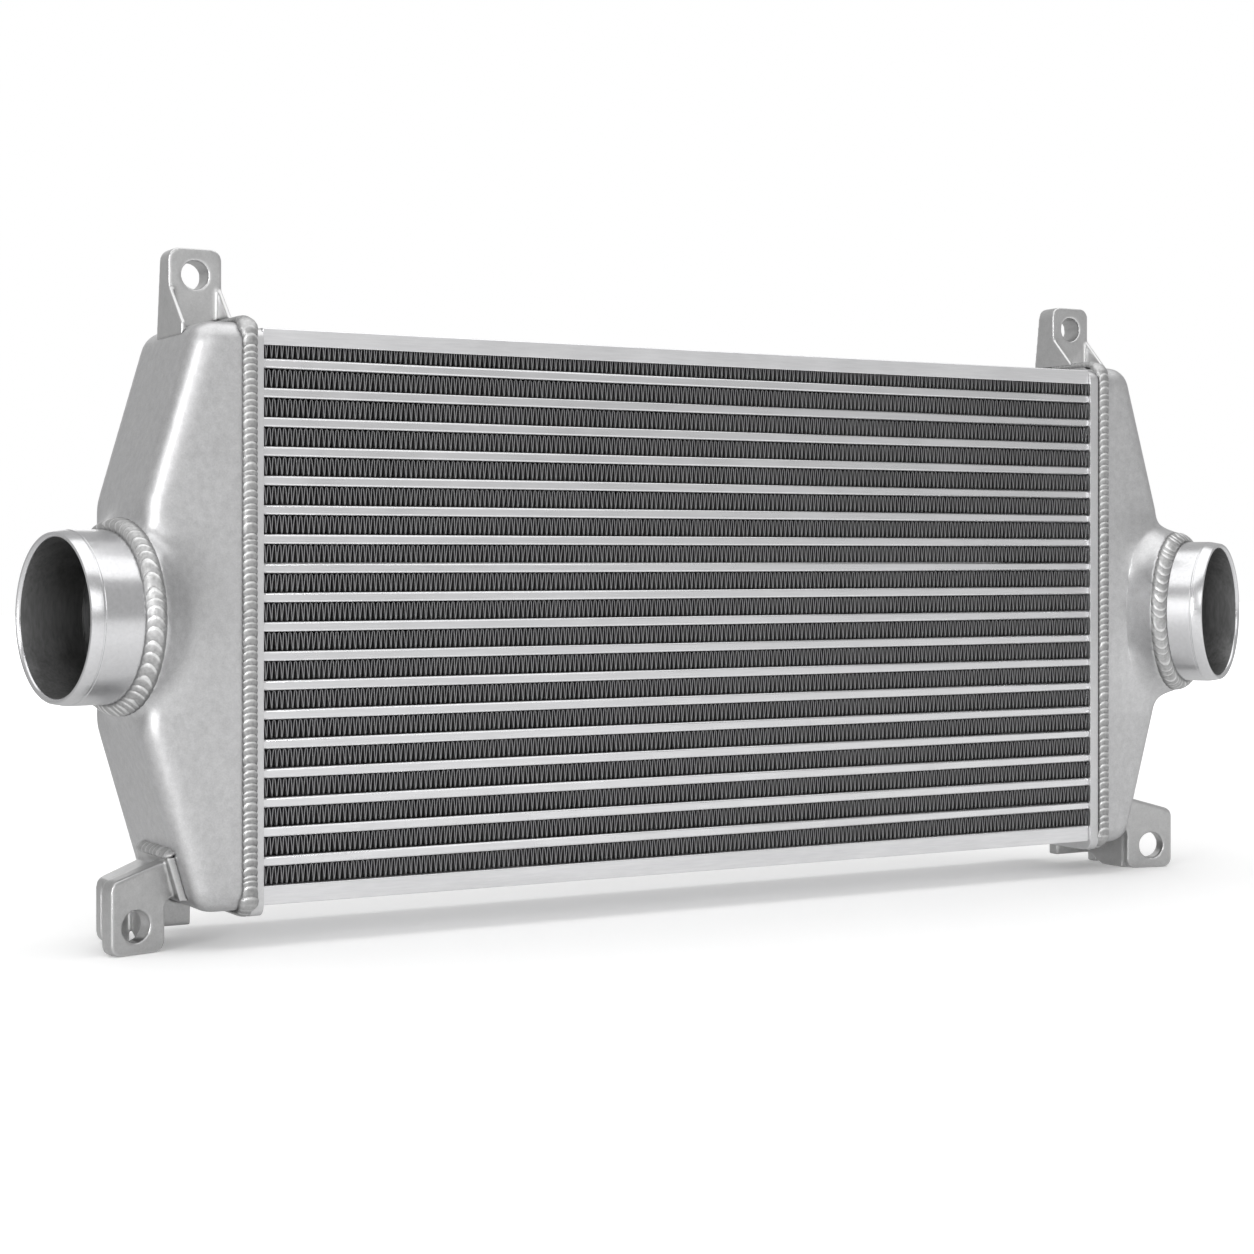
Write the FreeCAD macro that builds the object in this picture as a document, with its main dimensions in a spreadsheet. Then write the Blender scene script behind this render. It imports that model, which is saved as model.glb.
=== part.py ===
"""Bar-and-plate charge air cooler: a brazed core between two cast end tanks with hose stubs.

Frame: millimetres, +X to the right along the core, +Y to the back, +Z up.
The origin is the middle of the core's flat underside. The feet reach below it.
"""
import FreeCAD, Part
import math
import os
import re

import Sketcher

# Sizes that can be set by themselves, in millimetres and degrees.
SIZES = {
    # Core
    "fin_length": 472,          # visible width of a fin row, between the header frames
    "core_depth": 77,
    "fin_height": 8.5,          # clear height of one cooling air row
    "fin_gauge": 0.6,           # thickness of the folded fin sheet
    "fin_setback": 0.3,         # from the inside of the top plate's lip to the fins
    "tube_height": 4.4,         # a bar with a parting sheet above and below
    "parting_gauge": 0.4,
    "bar_width": 6,
    "bar_round": 0.9,
    "turbulator_gauge": 0.2,
    "turbulator_margin": 0.5,   # from the bars to the turbulator's edges
    "base_plate_height": 8.4,
    "top_plate_gauge": 4.9,
    "top_lip_drop": 2.6,
    "top_lip_gauge": 2,
    "plate_round": 0.8,
    # Header frames round the ends of the core
    "header_width": 5.5,
    "header_proud": 1.5,
    "header_rise": 5,           # below the core's underside
    "header_round": 6,
    # End tanks
    "tank_proud": 1,            # tank front and back beyond the core
    "tank_rise": 2.5,           # tank top and bottom beyond the core
    "tank_wall": 3,
    "tank_end_reach": 24,       # width at the top and bottom
    "tank_mid_reach": 47.5,     # width at mid height
    "tank_mid_half": 50,        # half height of the widest stretch
    "shoulder_round": 12,
    "bend_round": 30,
    "edge_round": 10,
    # Weld bead between tank and header frame
    "seam_width": 6.5,
    "seam_height": 3,
    "seam_round": 2.6,
    # Hose stubs and the bosses that carry them
    "stub_radius": 38.1,
    "stub_bore": 34.5,
    "nose_length": 5.5,
    "nose_drop": 1.5,
    "weld_bite": 0.6,            # how deep the weld melts into the stub's wall
    "boss_lip": 5.4,            # width of the boss's end face round the stub
    "boss_rise": 56,            # half height of the boss where it leaves the tank
    "ring_length": 5.6,         # the weld bead round a stub, along the stub
    "ring_round": 4.6,
    "left_turn": 9.5,           # stub axis, turned from the core's line to the front
    "left_length": 31,
    "left_boss_reach": 4.2,     # end of the boss, outboard of the tank's widest stretch
    "left_root_back": 26,       # and behind the tank's front face
    "left_drop": 0,
    "left_base_turn": 17.8,
    "left_base_sink": 18.5,     # foot of the boss, inboard of the tank's widest stretch
    "left_base_inset": 2,       # foot of the boss, inside the tank's front and back faces
    "right_turn": 60,
    "right_length": 25,
    "right_boss_reach": 8.5,
    "right_root_ahead": 0.35,   # end of the boss, in front of the tank's front face
    "right_drop": 3.5,
    "right_base_turn": 24.5,
    "right_base_sink": 15.5,
    "right_base_back": 28.5,
    "right_base_half": 25.3,
    # Upper lugs on the tanks
    "lug_gap": 0.2,             # clearance from the header frame
    "lug_width": 25,
    "lug_gauge": 12,
    "lug_root_gauge": 16.5,
    "lug_setback": 36,          # from the core's front to the lug's front face
    "lug_rise": 35.2,           # above the tank
    "lug_skirt": 8,             # stock that is fitted to the tank's shoulder
    "lug_round": 5,
    "lug_hole_radius": 6.35,
    "lug_hole_drop": 11.9,      # below the lug's top
    "rib_gauge": 2.3,
    "rib_reach": 17,
    "rib_rise": 17.5,
    # Lower brackets, with the feet
    "foot_drop": 18.9,          # floor below the core's underside
    "foot_gauge": 8.5,
    "foot_toe": 15,             # front plates turned inwards
    "foot_setback": 9.9,        # from the core's front to the hole in the front plate
    "foot_outer": 12.4,         # from the hole to the outer edge
    "foot_inner": 14.5,         # from the hole to the inner edge
    "foot_round": 5,
    "foot_hole_radius": 7,
    "foot_hole_reach": 48.3,    # hole, outboard of the tank's seam
    "foot_hole_rise": 12.4,     # hole above the floor
    "brow_rise": 32,            # outer top corner above the floor
    "brow_slope": 15.5,
    "arm_rise": 23.3,           # underside of the arm above the floor
    "arm_length": 12,           # arm, inboard of the foot's inner edge
    "arm_round": 5,
    "heel_setback": 46,         # from the core's front to the rear plate
    "heel_gauge": 7,
    "heel_reach": 53.1,         # rear plate's outer end, outboard of the seam
    "heel_gap": 4.8,            # its inner end, outboard of the seam's bead
    "heel_lift": 5.5,           # inner half of the rear plate, above the floor
    "web_rise": 28.4,           # outer end of the rear plate's top, above the floor
    "web_slope": 22,
    "cheek_reach": 34.5,        # inner side wall between the plates, outboard of the seam
    "cheek_gauge": 5,
    "cheek_foot": 35,           # the side wall stands on the floor this far behind the front
    "web_gauge": 5,
    "web_inset": 1,             # web's outer end, inside the rear plate's
    "web_sink": 4,              # how deep the web runs into the two plates
    "pad_gauge": 3.5,           # contact pad on the tank's sloping wall
    "pad_low": 3,
    "pad_high": 22.5,
    "pad_front_gap": 9.5,
    "tack_radius": 2.8,         # weld between bracket and tank
}

TUBE_ROWS = 18
FIN_ROWS = TUBE_ROWS + 1
FIN_FOLDS = 36
TURBULATOR_FOLDS = 10
LEFT = -1
RIGHT = 1
SIDE_NAME = {LEFT: "left", RIGHT: "right"}

document = FreeCAD.newDocument("charge_air_cooler")
sheet = document.addObject("Spreadsheet::Sheet", "Sizes")
for row, (alias, size) in enumerate(SIZES.items(), start=1):
    sheet.set(f"A{row}", alias)
    sheet.set(f"B{row}", str(size))
    sheet.setAlias(f"B{row}", alias)
document.recompute()

# Places that follow from the sizes, as formulas of them.
HALF_CORE = "(fin_length / 2 + header_width)"
SEAM = HALF_CORE
BOSS_RADIUS = "(stub_radius + boss_lip)"
ROW_PITCH = "(fin_height + tube_height)"
FIRST_FIN = "base_plate_height"
LAST_FIN_TOP = f"(base_plate_height + {TUBE_ROWS} * {ROW_PITCH} + fin_height)"
CORE_TOP = f"({LAST_FIN_TOP} + top_plate_gauge)"
MID = f"({CORE_TOP} / 2)"
FRONT = "(-core_depth / 2)"
BACK = "(core_depth / 2)"
TANK_FRONT = f"({FRONT} - tank_proud)"
TANK_BACK = f"({BACK} + tank_proud)"
TANK_TOP = f"({CORE_TOP} + tank_rise)"
FLOOR = "(-foot_drop)"
WALL_SLOPE = f"((tank_mid_reach - tank_end_reach) / ({MID} + tank_rise - tank_mid_half))"


def number(formula):
    """The value of a formula of the sheet's sizes."""
    return float(sheet.evalExpression(formula))


def tied(formula):
    """The same formula as another object of the document reads it."""
    return re.sub(r"\b([a-z]+(?:_[a-z]+)+)\b", r"Sizes.\1", formula)


def tie(thing, setting, formula):
    thing.setExpression(setting, tied(formula))


def put(thing, place, turn="0", tip="0", roll="0"):
    """Place a thing by formulas: x, y, z, a turn about Z, a tip about Y and a roll about X."""
    x, y, z = place
    tie(thing, "Placement", f"placement(vector({x}; {y}; {z}); rotation({turn}; {tip}; {roll}))")


def new_body(label):
    body = document.addObject("PartDesign::Body", label)
    body.Label = label
    return body


def plane_of(body, role):
    return next(plane for plane in body.Origin.OriginFeatures if plane.Role == role)


def polygon(body, name, role, corners):
    """A closed outline on one of the body's own planes, each corner held by two formulas."""
    sketch = body.newObject("Sketcher::SketchObject", name)
    sketch.AttachmentSupport = [(plane_of(body, role), "")]
    sketch.MapMode = "FlatFace"
    points = [FreeCAD.Vector(number(u), number(v), 0) for u, v in corners]
    for i, point in enumerate(points):
        sketch.addGeometry(Part.LineSegment(point, points[(i + 1) % len(points)]))
    for i in range(len(points)):
        sketch.addConstraint(Sketcher.Constraint("Coincident", i, 2, (i + 1) % len(points), 1))
    for i, (u, v) in enumerate(corners):
        for kind, formula, value in (("DistanceX", u, points[i].x), ("DistanceY", v, points[i].y)):
            held = sketch.addConstraint(Sketcher.Constraint(kind, -1, 1, i, 1, value))
            tie(sketch, f"Constraints[{held}]", formula)
    return sketch


def rectangle(body, name, role, low, high):
    (u0, v0), (u1, v1) = low, high
    return polygon(body, name, role, [(u0, v0), (u1, v0), (u1, v1), (u0, v1)])


def circle(body, name, role, centre, radius):
    sketch = body.newObject("Sketcher::SketchObject", name)
    sketch.AttachmentSupport = [(plane_of(body, role), "")]
    sketch.MapMode = "FlatFace"
    u, v = (number(formula) for formula in centre)
    sketch.addGeometry(Part.Circle(FreeCAD.Vector(u, v, 0), FreeCAD.Vector(0, 0, 1), number(radius)))
    for kind, formula, value in (("DistanceX", centre[0], u), ("DistanceY", centre[1], v)):
        held = sketch.addConstraint(Sketcher.Constraint(kind, -1, 1, 0, 3, value))
        tie(sketch, f"Constraints[{held}]", formula)
    held = sketch.addConstraint(Sketcher.Constraint("Radius", 0, number(radius)))
    tie(sketch, f"Constraints[{held}]", radius)
    return sketch


def feature(body, kind, name, sketch, length, symmetric=True, reverse=False):
    """A pad or pocket of a sketch, with its length held by a formula."""
    made = body.newObject(f"PartDesign::{kind}", name)
    made.Profile = sketch
    made.SideType = "Symmetric" if symmetric else "One side"
    made.Reversed = reverse
    tie(made, "Length", length)
    document.recompute()
    return made


def round_edges(body, name, base, radius, chosen):
    """Round the edges of a feature that a rule chooses by their middle and direction."""
    names = []
    for i, edge in enumerate(base.Shape.Edges, start=1):
        along = edge.Vertexes[-1].Point - edge.Vertexes[0].Point
        if chosen(edge.CenterOfMass, along.normalize() if along.Length else along):
            names.append(f"Edge{i}")
    made = body.newObject("PartDesign::Fillet", name)
    made.Base = (base, names)
    tie(made, "Radius", radius)
    document.recompute()
    return made


def boolean(kind, label, *things):
    """A cut of one thing by another, or the fusion or common part of several."""
    made = document.addObject(f"Part::{kind}", label)
    if kind == "Cut":
        made.Base, made.Tool = things
    else:
        made.Shapes = list(things)
    made.Label = label
    document.recompute()
    return made


def near(value, formula, slack=0.01):
    return abs(value - number(formula)) < slack


sub_parts = []


def keep(thing):
    sub_parts.append(thing)
    return thing


# Charge tubes: a front and a rear bar between two parting sheets, brazed into one flat tube.
def charge_tube(row):
    body = new_body(f"charge_tube_{row + 1:02d}")
    floor = f"({FIRST_FIN} + {row} * {ROW_PITCH} + fin_height)"
    top = f"({floor} + tube_height)"
    section = rectangle(body, "tube_section", "YZ_Plane", (FRONT, floor), (BACK, top))
    outside = feature(body, "Pad", "tube_outside", section, f"2 * {HALF_CORE}")
    passage = rectangle(
        body, "passage_section", "YZ_Plane",
        (f"{FRONT} + bar_width", f"{floor} + parting_gauge"),
        (f"{BACK} - bar_width", f"{top} - parting_gauge"),
    )
    hollow = feature(body, "Pocket", "passage", passage, f"4 * {HALF_CORE}")
    round_edges(
        body, "bar_edges", hollow, "bar_round",
        lambda mid, along: abs(along.x) > 0.9 and near(abs(mid.y), BACK),
    )
    return keep(body)


def folded_sheet(start, run, low, height, gauge, folds):
    """Outline of a sheet folded to and fro between two levels, as flat (run, level) points."""
    half = run / folds / 2
    slant = gauge * math.hypot(1, (height - gauge) / half)
    under = [(start + i * half, low + (height - slant) * (i % 2)) for i in range(2 * folds + 1)]
    return under + [(u, v + slant) for u, v in reversed(under)]


# Cooling fins: one folded sheet a row. They are made by a plain function, because a fold has no other form.
def air_fin(row):
    start = -number("fin_length / 2")
    low = number(f"{FIRST_FIN} + {row} * {ROW_PITCH}")
    outline = folded_sheet(
        start, number("fin_length"), low, number("fin_height"), number("fin_gauge"), FIN_FOLDS
    )
    inset = number("top_lip_gauge + fin_setback")
    front = number(FRONT) + inset
    points = [FreeCAD.Vector(x, front, z) for x, z in outline]
    face = Part.Face(Part.makePolygon(points + points[:1]))
    sheet_metal = face.extrude(FreeCAD.Vector(0, number("core_depth") - 2 * inset, 0))
    fin = document.addObject("Part::Feature", f"air_fin_{row + 1:02d}")
    fin.Label = f"air_fin_{row + 1:02d}"
    fin.Shape = sheet_metal
    return keep(fin)


# Inside each tube a turbulator lies between the bars: a finer folded sheet, its folds along the core.
def charge_turbulators():
    width = number("core_depth - 2 * bar_width - 2 * turbulator_margin")
    height = number("tube_height - 2 * parting_gauge")
    length = number(f"2 * {HALF_CORE}")
    sheets = []
    for row in range(TUBE_ROWS):
        low = number(f"{FIRST_FIN} + {row} * {ROW_PITCH} + fin_height + parting_gauge")
        outline = folded_sheet(
            -width / 2, width, low, height, number("turbulator_gauge"), TURBULATOR_FOLDS
        )
        points = [FreeCAD.Vector(-length / 2, y, z) for y, z in outline]
        face = Part.Face(Part.makePolygon(points + points[:1]))
        sheets.append(face.extrude(FreeCAD.Vector(length, 0, 0)))
    group = document.addObject("Part::Feature", "charge_turbulators")
    group.Label = "charge_turbulators"
    group.Shape = Part.makeCompound(sheets)
    return keep(group)


# End bars close each cooling row at the core's ends, under the header frame.
def end_bars(side):
    bars = []
    for row in range(FIN_ROWS):
        bar = document.addObject("Part::Box", f"end_bar_{SIDE_NAME[side]}_{row + 1:02d}")
        tie(bar, "Length", "header_width")
        tie(bar, "Width", "core_depth")
        tie(bar, "Height", "fin_height")
        start = "fin_length / 2" if side == RIGHT else f"-{HALF_CORE}"
        put(bar, (start, FRONT, f"{FIRST_FIN} + {row} * {ROW_PITCH}"))
        bars.append(bar)
    group = document.addObject("Part::Compound", f"end_bars_{SIDE_NAME[side]}")
    group.Links = bars
    group.Label = f"end_bars_{SIDE_NAME[side]}"
    document.recompute()
    return keep(group)


# The bottom plate is a flat bar. The top plate has a lip that hides part of the first fin row.
def side_plate_bottom():
    body = new_body("side_plate_bottom")
    section = rectangle(body, "bottom_section", "YZ_Plane", (FRONT, "0"), (BACK, FIRST_FIN))
    bar = feature(body, "Pad", "bottom_bar", section, "fin_length")
    round_edges(
        body, "bottom_edges", bar, "plate_round",
        lambda mid, along: abs(along.x) > 0.9 and near(mid.z, FIRST_FIN),
    )
    return keep(body)


def side_plate_top():
    body = new_body("side_plate_top")
    section = rectangle(body, "top_section", "YZ_Plane", (FRONT, LAST_FIN_TOP), (BACK, CORE_TOP))
    sheet_metal = feature(body, "Pad", "top_sheet", section, "fin_length")
    for name, start, end in (
        ("front_lip", FRONT, f"{FRONT} + top_lip_gauge"),
        ("rear_lip", f"{BACK} - top_lip_gauge", BACK),
    ):
        lip = rectangle(
            body, f"{name}_section", "YZ_Plane",
            (start, f"{LAST_FIN_TOP} - top_lip_drop"), (end, f"{LAST_FIN_TOP} + plate_round / 2"),
        )
        sheet_metal = feature(body, "Pad", name, lip, "fin_length")
    round_edges(
        body, "top_edges", sheet_metal, "plate_round",
        lambda mid, along: abs(along.x) > 0.9 and near(mid.z, CORE_TOP) and near(abs(mid.y), BACK),
    )
    return keep(body)


# A header frame is a flat ring round the end of the core: flush on top, proud in front, behind and below.
def header_frame(side):
    body = new_body(f"header_frame_{SIDE_NAME[side]}")
    outline = rectangle(
        body, "outline", "YZ_Plane",
        (f"{FRONT} - header_proud", "-header_rise"),
        (f"{BACK} + header_proud", CORE_TOP),
    )
    block = feature(body, "Pad", "block", outline, "header_width")
    opening = rectangle(body, "opening", "YZ_Plane", (FRONT, FIRST_FIN), (BACK, LAST_FIN_TOP))
    ring = feature(body, "Pocket", "core_opening", opening, "2 * header_width")
    round_edges(
        body, "corners", ring, "header_round",
        lambda mid, along: abs(along.x) > 0.9 and near(abs(mid.y), f"{BACK} + header_proud"),
    )
    put(body, (f"{side} * (fin_length / 2 + header_width / 2)", "0", "0"))
    return keep(body)


# End tank: a trapezoid box with well rounded edges, and a boss that runs out to the stub.
def tank_box(side, name, wall):
    """The tank without its boss: its outside with no wall, or its hollow with the wall's thickness."""
    body = new_body(name)
    half_end = f"({MID} + tank_rise - {wall})"
    # The sloping wall moves inwards by its own thickness, so its ends shift along the slope.
    lean = f"sqrt(1 + {WALL_SLOPE} * {WALL_SLOPE})"
    end_reach = f"({SEAM} + tank_end_reach + {wall} * {WALL_SLOPE} - {wall} * {lean})"
    mid_reach = f"({SEAM} + tank_mid_reach - {wall})"
    mid_half = f"(tank_mid_half - {wall} * ({lean} - 1) / {WALL_SLOPE})"
    heights = [
        (SEAM, f"{MID} - {half_end}"),
        (end_reach, f"{MID} - {half_end}"),
        (mid_reach, f"{MID} - {mid_half}"),
        (mid_reach, f"{MID} + {mid_half}"),
        (end_reach, f"{MID} + {half_end}"),
        (SEAM, f"{MID} + {half_end}"),
    ]
    outline = polygon(body, f"{name}_outline", "XZ_Plane", [(f"{side} * {u}", v) for u, v in heights])
    block = feature(body, "Pad", f"{name}_block", outline, f"core_depth + 2 * tank_proud - 2 * {wall}")
    shoulders = round_edges(
        body, f"{name}_shoulders", block, f"shoulder_round - {wall}",
        lambda mid, along: abs(along.y) > 0.9 and near(abs(mid.x), end_reach),
    )
    bends = round_edges(
        body, f"{name}_bends", shoulders, f"bend_round - {wall}",
        lambda mid, along: abs(along.y) > 0.9 and near(abs(mid.x), mid_reach) and mid.z > 0
        and (near(mid.z, f"{MID} - {mid_half}") or near(mid.z, f"{MID} + {mid_half}")),
    )
    depth_half = f"({TANK_BACK} - {wall})"
    round_edges(
        body, f"{name}_edges", bends, f"edge_round - {wall}",
        lambda mid, along: near(abs(mid.y), depth_half) and not near(abs(mid.x), SEAM),
    )
    return body


STUB_PLACES = {
    LEFT: {
        "turn": "180 + left_turn",
        "root": (
            f"-({SEAM} + tank_mid_reach + left_boss_reach)",
            f"{TANK_FRONT} + left_root_back",
            f"{MID} - left_drop",
        ),
        "length": "left_length",
        "base_turn": "180 + left_base_turn",
        "base": (f"-({SEAM} + tank_mid_reach - left_base_sink)", "0", f"{MID} - left_drop"),
        "base_half": f"({TANK_BACK} - left_base_inset)",
    },
    RIGHT: {
        "turn": "-right_turn",
        "root": (
            f"{SEAM} + tank_mid_reach + right_boss_reach",
            f"{TANK_FRONT} - right_root_ahead",
            f"{MID} - right_drop",
        ),
        "length": "right_length",
        "base_turn": "-right_base_turn",
        "base": (
            f"{SEAM} + tank_mid_reach - right_base_sink",
            f"{TANK_FRONT} + right_base_back",
            f"{MID} - right_drop",
        ),
        "base_half": "right_base_half",
    },
}


def boss_form(side, name, end_radius, wall):
    """A smooth run from an upright oval inside the tank to the round end that the stub stands on."""
    place = STUB_PLACES[side]
    oval = document.addObject("Part::Ellipse", f"{name}_oval")
    tie(oval, "MajorRadius", f"boss_rise - {wall}")
    tie(oval, "MinorRadius", f"{place['base_half']} - {wall}")
    put(oval, place["base"], place["base_turn"], "90")
    end = document.addObject("Part::Circle", f"{name}_end")
    tie(end, "Radius", end_radius)
    put(end, place["root"], place["turn"], "90")
    document.recompute()
    run = document.addObject("Part::Loft", name)
    run.Sections = [oval, end]
    run.Solid = True
    document.recompute()
    return run


def end_tank(side):
    """The tank's solid outside form, which other pieces are fitted to, and the hollow tank itself."""
    where = SIDE_NAME[side]
    form = boolean(
        "MultiFuse", f"tank_form_{where}",
        tank_box(side, f"tank_outside_{where}", "0"),
        boss_form(side, f"boss_outside_{where}", BOSS_RADIUS, "0"),
    )
    hollow = boolean(
        "MultiFuse", f"tank_hollow_{where}",
        tank_box(side, f"tank_inside_{where}", "tank_wall"),
        boss_form(side, f"boss_inside_{where}", "stub_bore", "tank_wall"),
    )
    keep(boolean("Cut", f"end_tank_{where}", form, hollow))
    return form


# The weld bead that joins a tank to its header frame, as a plain round-edged band.
def tank_seam_weld(side):
    body = new_body(f"tank_seam_weld_{SIDE_NAME[side]}")

    def ring(name, grow):
        return rectangle(
            body, name, "YZ_Plane",
            (f"{TANK_FRONT} - {grow}", f"-tank_rise - {grow}"),
            (f"{TANK_BACK} + {grow}", f"{TANK_TOP} + {grow}"),
        )

    block = feature(body, "Pad", "bead_block", ring("bead_outline", "seam_height"), "seam_width")
    corners = round_edges(
        body, "bead_corners", block, "edge_round + seam_height",
        lambda mid, along: abs(along.x) > 0.9,
    )
    round_edges(
        body, "bead_crown", corners, "seam_round",
        lambda mid, along: near(abs(mid.x), "seam_width / 2"),
    )
    put(body, (f"{side} * ({SEAM} + seam_width / 2)", "0", "0"))
    document.recompute()
    return body


# A hose stub is turned from tube: a tapered nose, a straight seat for the hose, and a root melted into its weld.
def hose_stub(side):
    place = STUB_PLACES[side]
    body = new_body(f"hose_stub_{SIDE_NAME[side]}")
    length = place["length"]
    nose = f"({length} - nose_length)"
    wall = polygon(
        body, "stub_section", "XY_Plane",
        [
            ("0", "stub_bore"),
            (length, "stub_bore"),
            (length, "stub_radius - nose_drop"),
            (nose, "stub_radius"),
            ("ring_length", "stub_radius"),
            ("ring_length", "stub_radius - weld_bite"),
            ("0", "stub_radius - weld_bite"),
        ],
    )
    turned = body.newObject("PartDesign::Revolution", "turned_tube")
    turned.Profile = wall
    turned.ReferenceAxis = (wall, ["H_Axis"])
    turned.Angle = 360
    document.recompute()
    put(body, place["root"], place["turn"])
    document.recompute()
    return keep(body)


# The weld bead round a stub fills the corner between the boss's end and the stub.
def stub_weld(side):
    place = STUB_PLACES[side]
    body = new_body(f"stub_weld_{SIDE_NAME[side]}")
    section = rectangle(
        body, "bead_section", "XY_Plane",
        ("0", "stub_radius - weld_bite"), ("ring_length", BOSS_RADIUS),
    )
    ring = body.newObject("PartDesign::Revolution", "bead_ring")
    ring.Profile = section
    ring.ReferenceAxis = (section, ["H_Axis"])
    ring.Angle = 360
    document.recompute()
    names = []
    for i, edge in enumerate(ring.Shape.Edges, start=1):
        rim = edge.Vertexes[0].Point
        if near(rim.x, "ring_length") and near(math.hypot(rim.y, rim.z), BOSS_RADIUS):
            if edge.isClosed() or near(edge.Vertexes[-1].Point.x, "ring_length"):
                names.append(f"Edge{i}")
    crown = body.newObject("PartDesign::Fillet", "bead_crown")
    crown.Base = (ring, names)
    tie(crown, "Radius", "ring_round")
    put(body, place["root"], place["turn"])
    document.recompute()
    return keep(body)


# An upper lug is an upright plate with two forward ribs, fitted to the tank's shoulder.
def upper_lug(side, form, bead):
    where = SIDE_NAME[side]
    body = new_body(f"lug_stock_{where}")
    face = f"({FRONT} + lug_setback)"
    top = f"({TANK_TOP} + lug_rise)"
    foot = f"({TANK_TOP} - lug_skirt)"
    profile = polygon(
        body, "lug_profile", "YZ_Plane",
        [
            (face, foot),
            (f"{face} + lug_root_gauge", foot),
            (f"{face} + lug_root_gauge", TANK_TOP),
            (f"{face} + lug_gauge", top),
            (face, top),
        ],
    )
    plate = feature(body, "Pad", "lug_plate", profile, "lug_width")
    round_edges(
        body, "lug_corners", plate, "lug_round",
        lambda mid, along: abs(along.y) > 0.9 and near(mid.z, top),
    )
    rib = [
        (f"{face} + lug_gauge / 2", foot),
        (f"{face} + lug_gauge / 2", f"{TANK_TOP} + rib_rise"),
        (face, f"{TANK_TOP} + rib_rise"),
        (f"{face} - rib_reach", TANK_TOP),
        (f"{face} - rib_reach", foot),
    ]
    feature(body, "Pad", "rib_pair", polygon(body, "rib_profile", "YZ_Plane", rib), "lug_width")
    space = rectangle(
        body, "rib_space", "YZ_Plane",
        (f"{face} - 2 * rib_reach", f"{foot} - lug_skirt"), (face, f"{TANK_TOP} + 2 * rib_rise"),
    )
    feature(body, "Pocket", "between_ribs", space, "lug_width - 2 * rib_gauge")
    hole = circle(body, "lug_hole_line", "XZ_Plane", ("0", f"{top} - lug_hole_drop"), "lug_hole_radius")
    feature(body, "Pocket", "lug_hole", hole, "2 * core_depth")
    put(body, (f"{side} * ({SEAM} + lug_gap + lug_width / 2)", "0", "0"))
    document.recompute()
    fitted = boolean("Cut", f"lug_on_tank_{where}", body, form)
    return keep(boolean("Cut", f"upper_lug_{where}", fitted, bead))


BROW = "tan(brow_slope)"
HEEL_IN = "(seam_width + heel_gap)"
CHEEK_OUT = "(cheek_reach + cheek_gauge)"
HEEL_FRONT = f"({FRONT} + heel_setback)"
HEEL_BACK = f"({HEEL_FRONT} + heel_gauge)"


def web_level(reach):
    """Height of the sloping top of the web and the rear plate, at a distance outboard of the seam."""
    return f"({FLOOR} + web_rise + tan(web_slope) * (heel_reach - ({reach})))"


def foot_back(reach):
    """Back of the toed-in front plate, less the web's sink, at a distance outboard of the seam."""
    face = f"{FRONT} + foot_setback + foot_gauge / cos(foot_toe) - web_sink"
    return f"({face} + tan(foot_toe) * (foot_hole_reach - {reach}))"


def foot_plate(side):
    """The front plate: an upright foot with the bolt hole, and an arm that reaches the tank."""
    body = new_body(f"foot_plate_{SIDE_NAME[side]}")
    rise = "(brow_rise - foot_hole_rise)"
    arm_end = "(foot_inner + arm_length)"
    outline = polygon(
        body, "foot_outline", "XZ_Plane",
        [
            (f"{side} * foot_outer", "-foot_hole_rise"),
            (f"{side} * foot_outer", rise),
            (f"{side} * -{arm_end}", f"{rise} + {BROW} * (foot_outer + {arm_end})"),
            (f"{side} * -{arm_end}", "arm_rise - foot_hole_rise"),
            (f"{side} * -foot_inner", "arm_rise - foot_hole_rise"),
            (f"{side} * -foot_inner", "-foot_hole_rise"),
        ],
    )
    plate = feature(body, "Pad", "foot_block", outline, "foot_gauge", symmetric=False, reverse=True)
    corners = round_edges(
        body, "foot_corners", plate, "foot_round",
        lambda mid, along: abs(along.y) > 0.9
        and (near(mid.z, "-foot_hole_rise") or near(abs(mid.x) + mid.z, f"foot_outer + {rise}")),
    )
    round_edges(
        body, "arm_corner", corners, "arm_round",
        lambda mid, along: abs(along.y) > 0.9 and near(mid.z, "arm_rise - foot_hole_rise")
        and near(abs(mid.x), "foot_inner"),
    )
    hole = circle(body, "foot_hole_line", "XZ_Plane", ("0", "0"), "foot_hole_radius")
    feature(body, "Pocket", "foot_hole", hole, "4 * foot_gauge")
    put(
        body,
        (
            f"{side} * ({SEAM} + foot_hole_reach)",
            f"{FRONT} + foot_setback",
            f"{FLOOR} + foot_hole_rise",
        ),
        f"{-side} * foot_toe",
    )
    return body


def heel_plate(side):
    """The rear plate: its outer half stands on the floor, its inner half is a little above it."""
    body = new_body(f"heel_plate_{SIDE_NAME[side]}")
    outline = polygon(
        body, "heel_outline", "XZ_Plane",
        [
            (f"{side} * ({SEAM} + {HEEL_IN})", f"{FLOOR} + heel_lift"),
            (f"{side} * ({SEAM} + {CHEEK_OUT})", f"{FLOOR} + heel_lift"),
            (f"{side} * ({SEAM} + {CHEEK_OUT})", FLOOR),
            (f"{side} * ({SEAM} + heel_reach)", FLOOR),
            (f"{side} * ({SEAM} + heel_reach)", web_level("heel_reach")),
            (f"{side} * ({SEAM} + {HEEL_IN})", web_level(HEEL_IN)),
        ],
    )
    block = feature(body, "Pad", "heel_block", outline, "heel_gauge", symmetric=False, reverse=True)
    round_edges(
        body, "heel_corners", block, "foot_round",
        lambda mid, along: abs(along.y) > 0.9 and near(abs(mid.x), f"{SEAM} + heel_reach"),
    )
    put(body, ("0", HEEL_FRONT, "0"))
    return body


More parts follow.
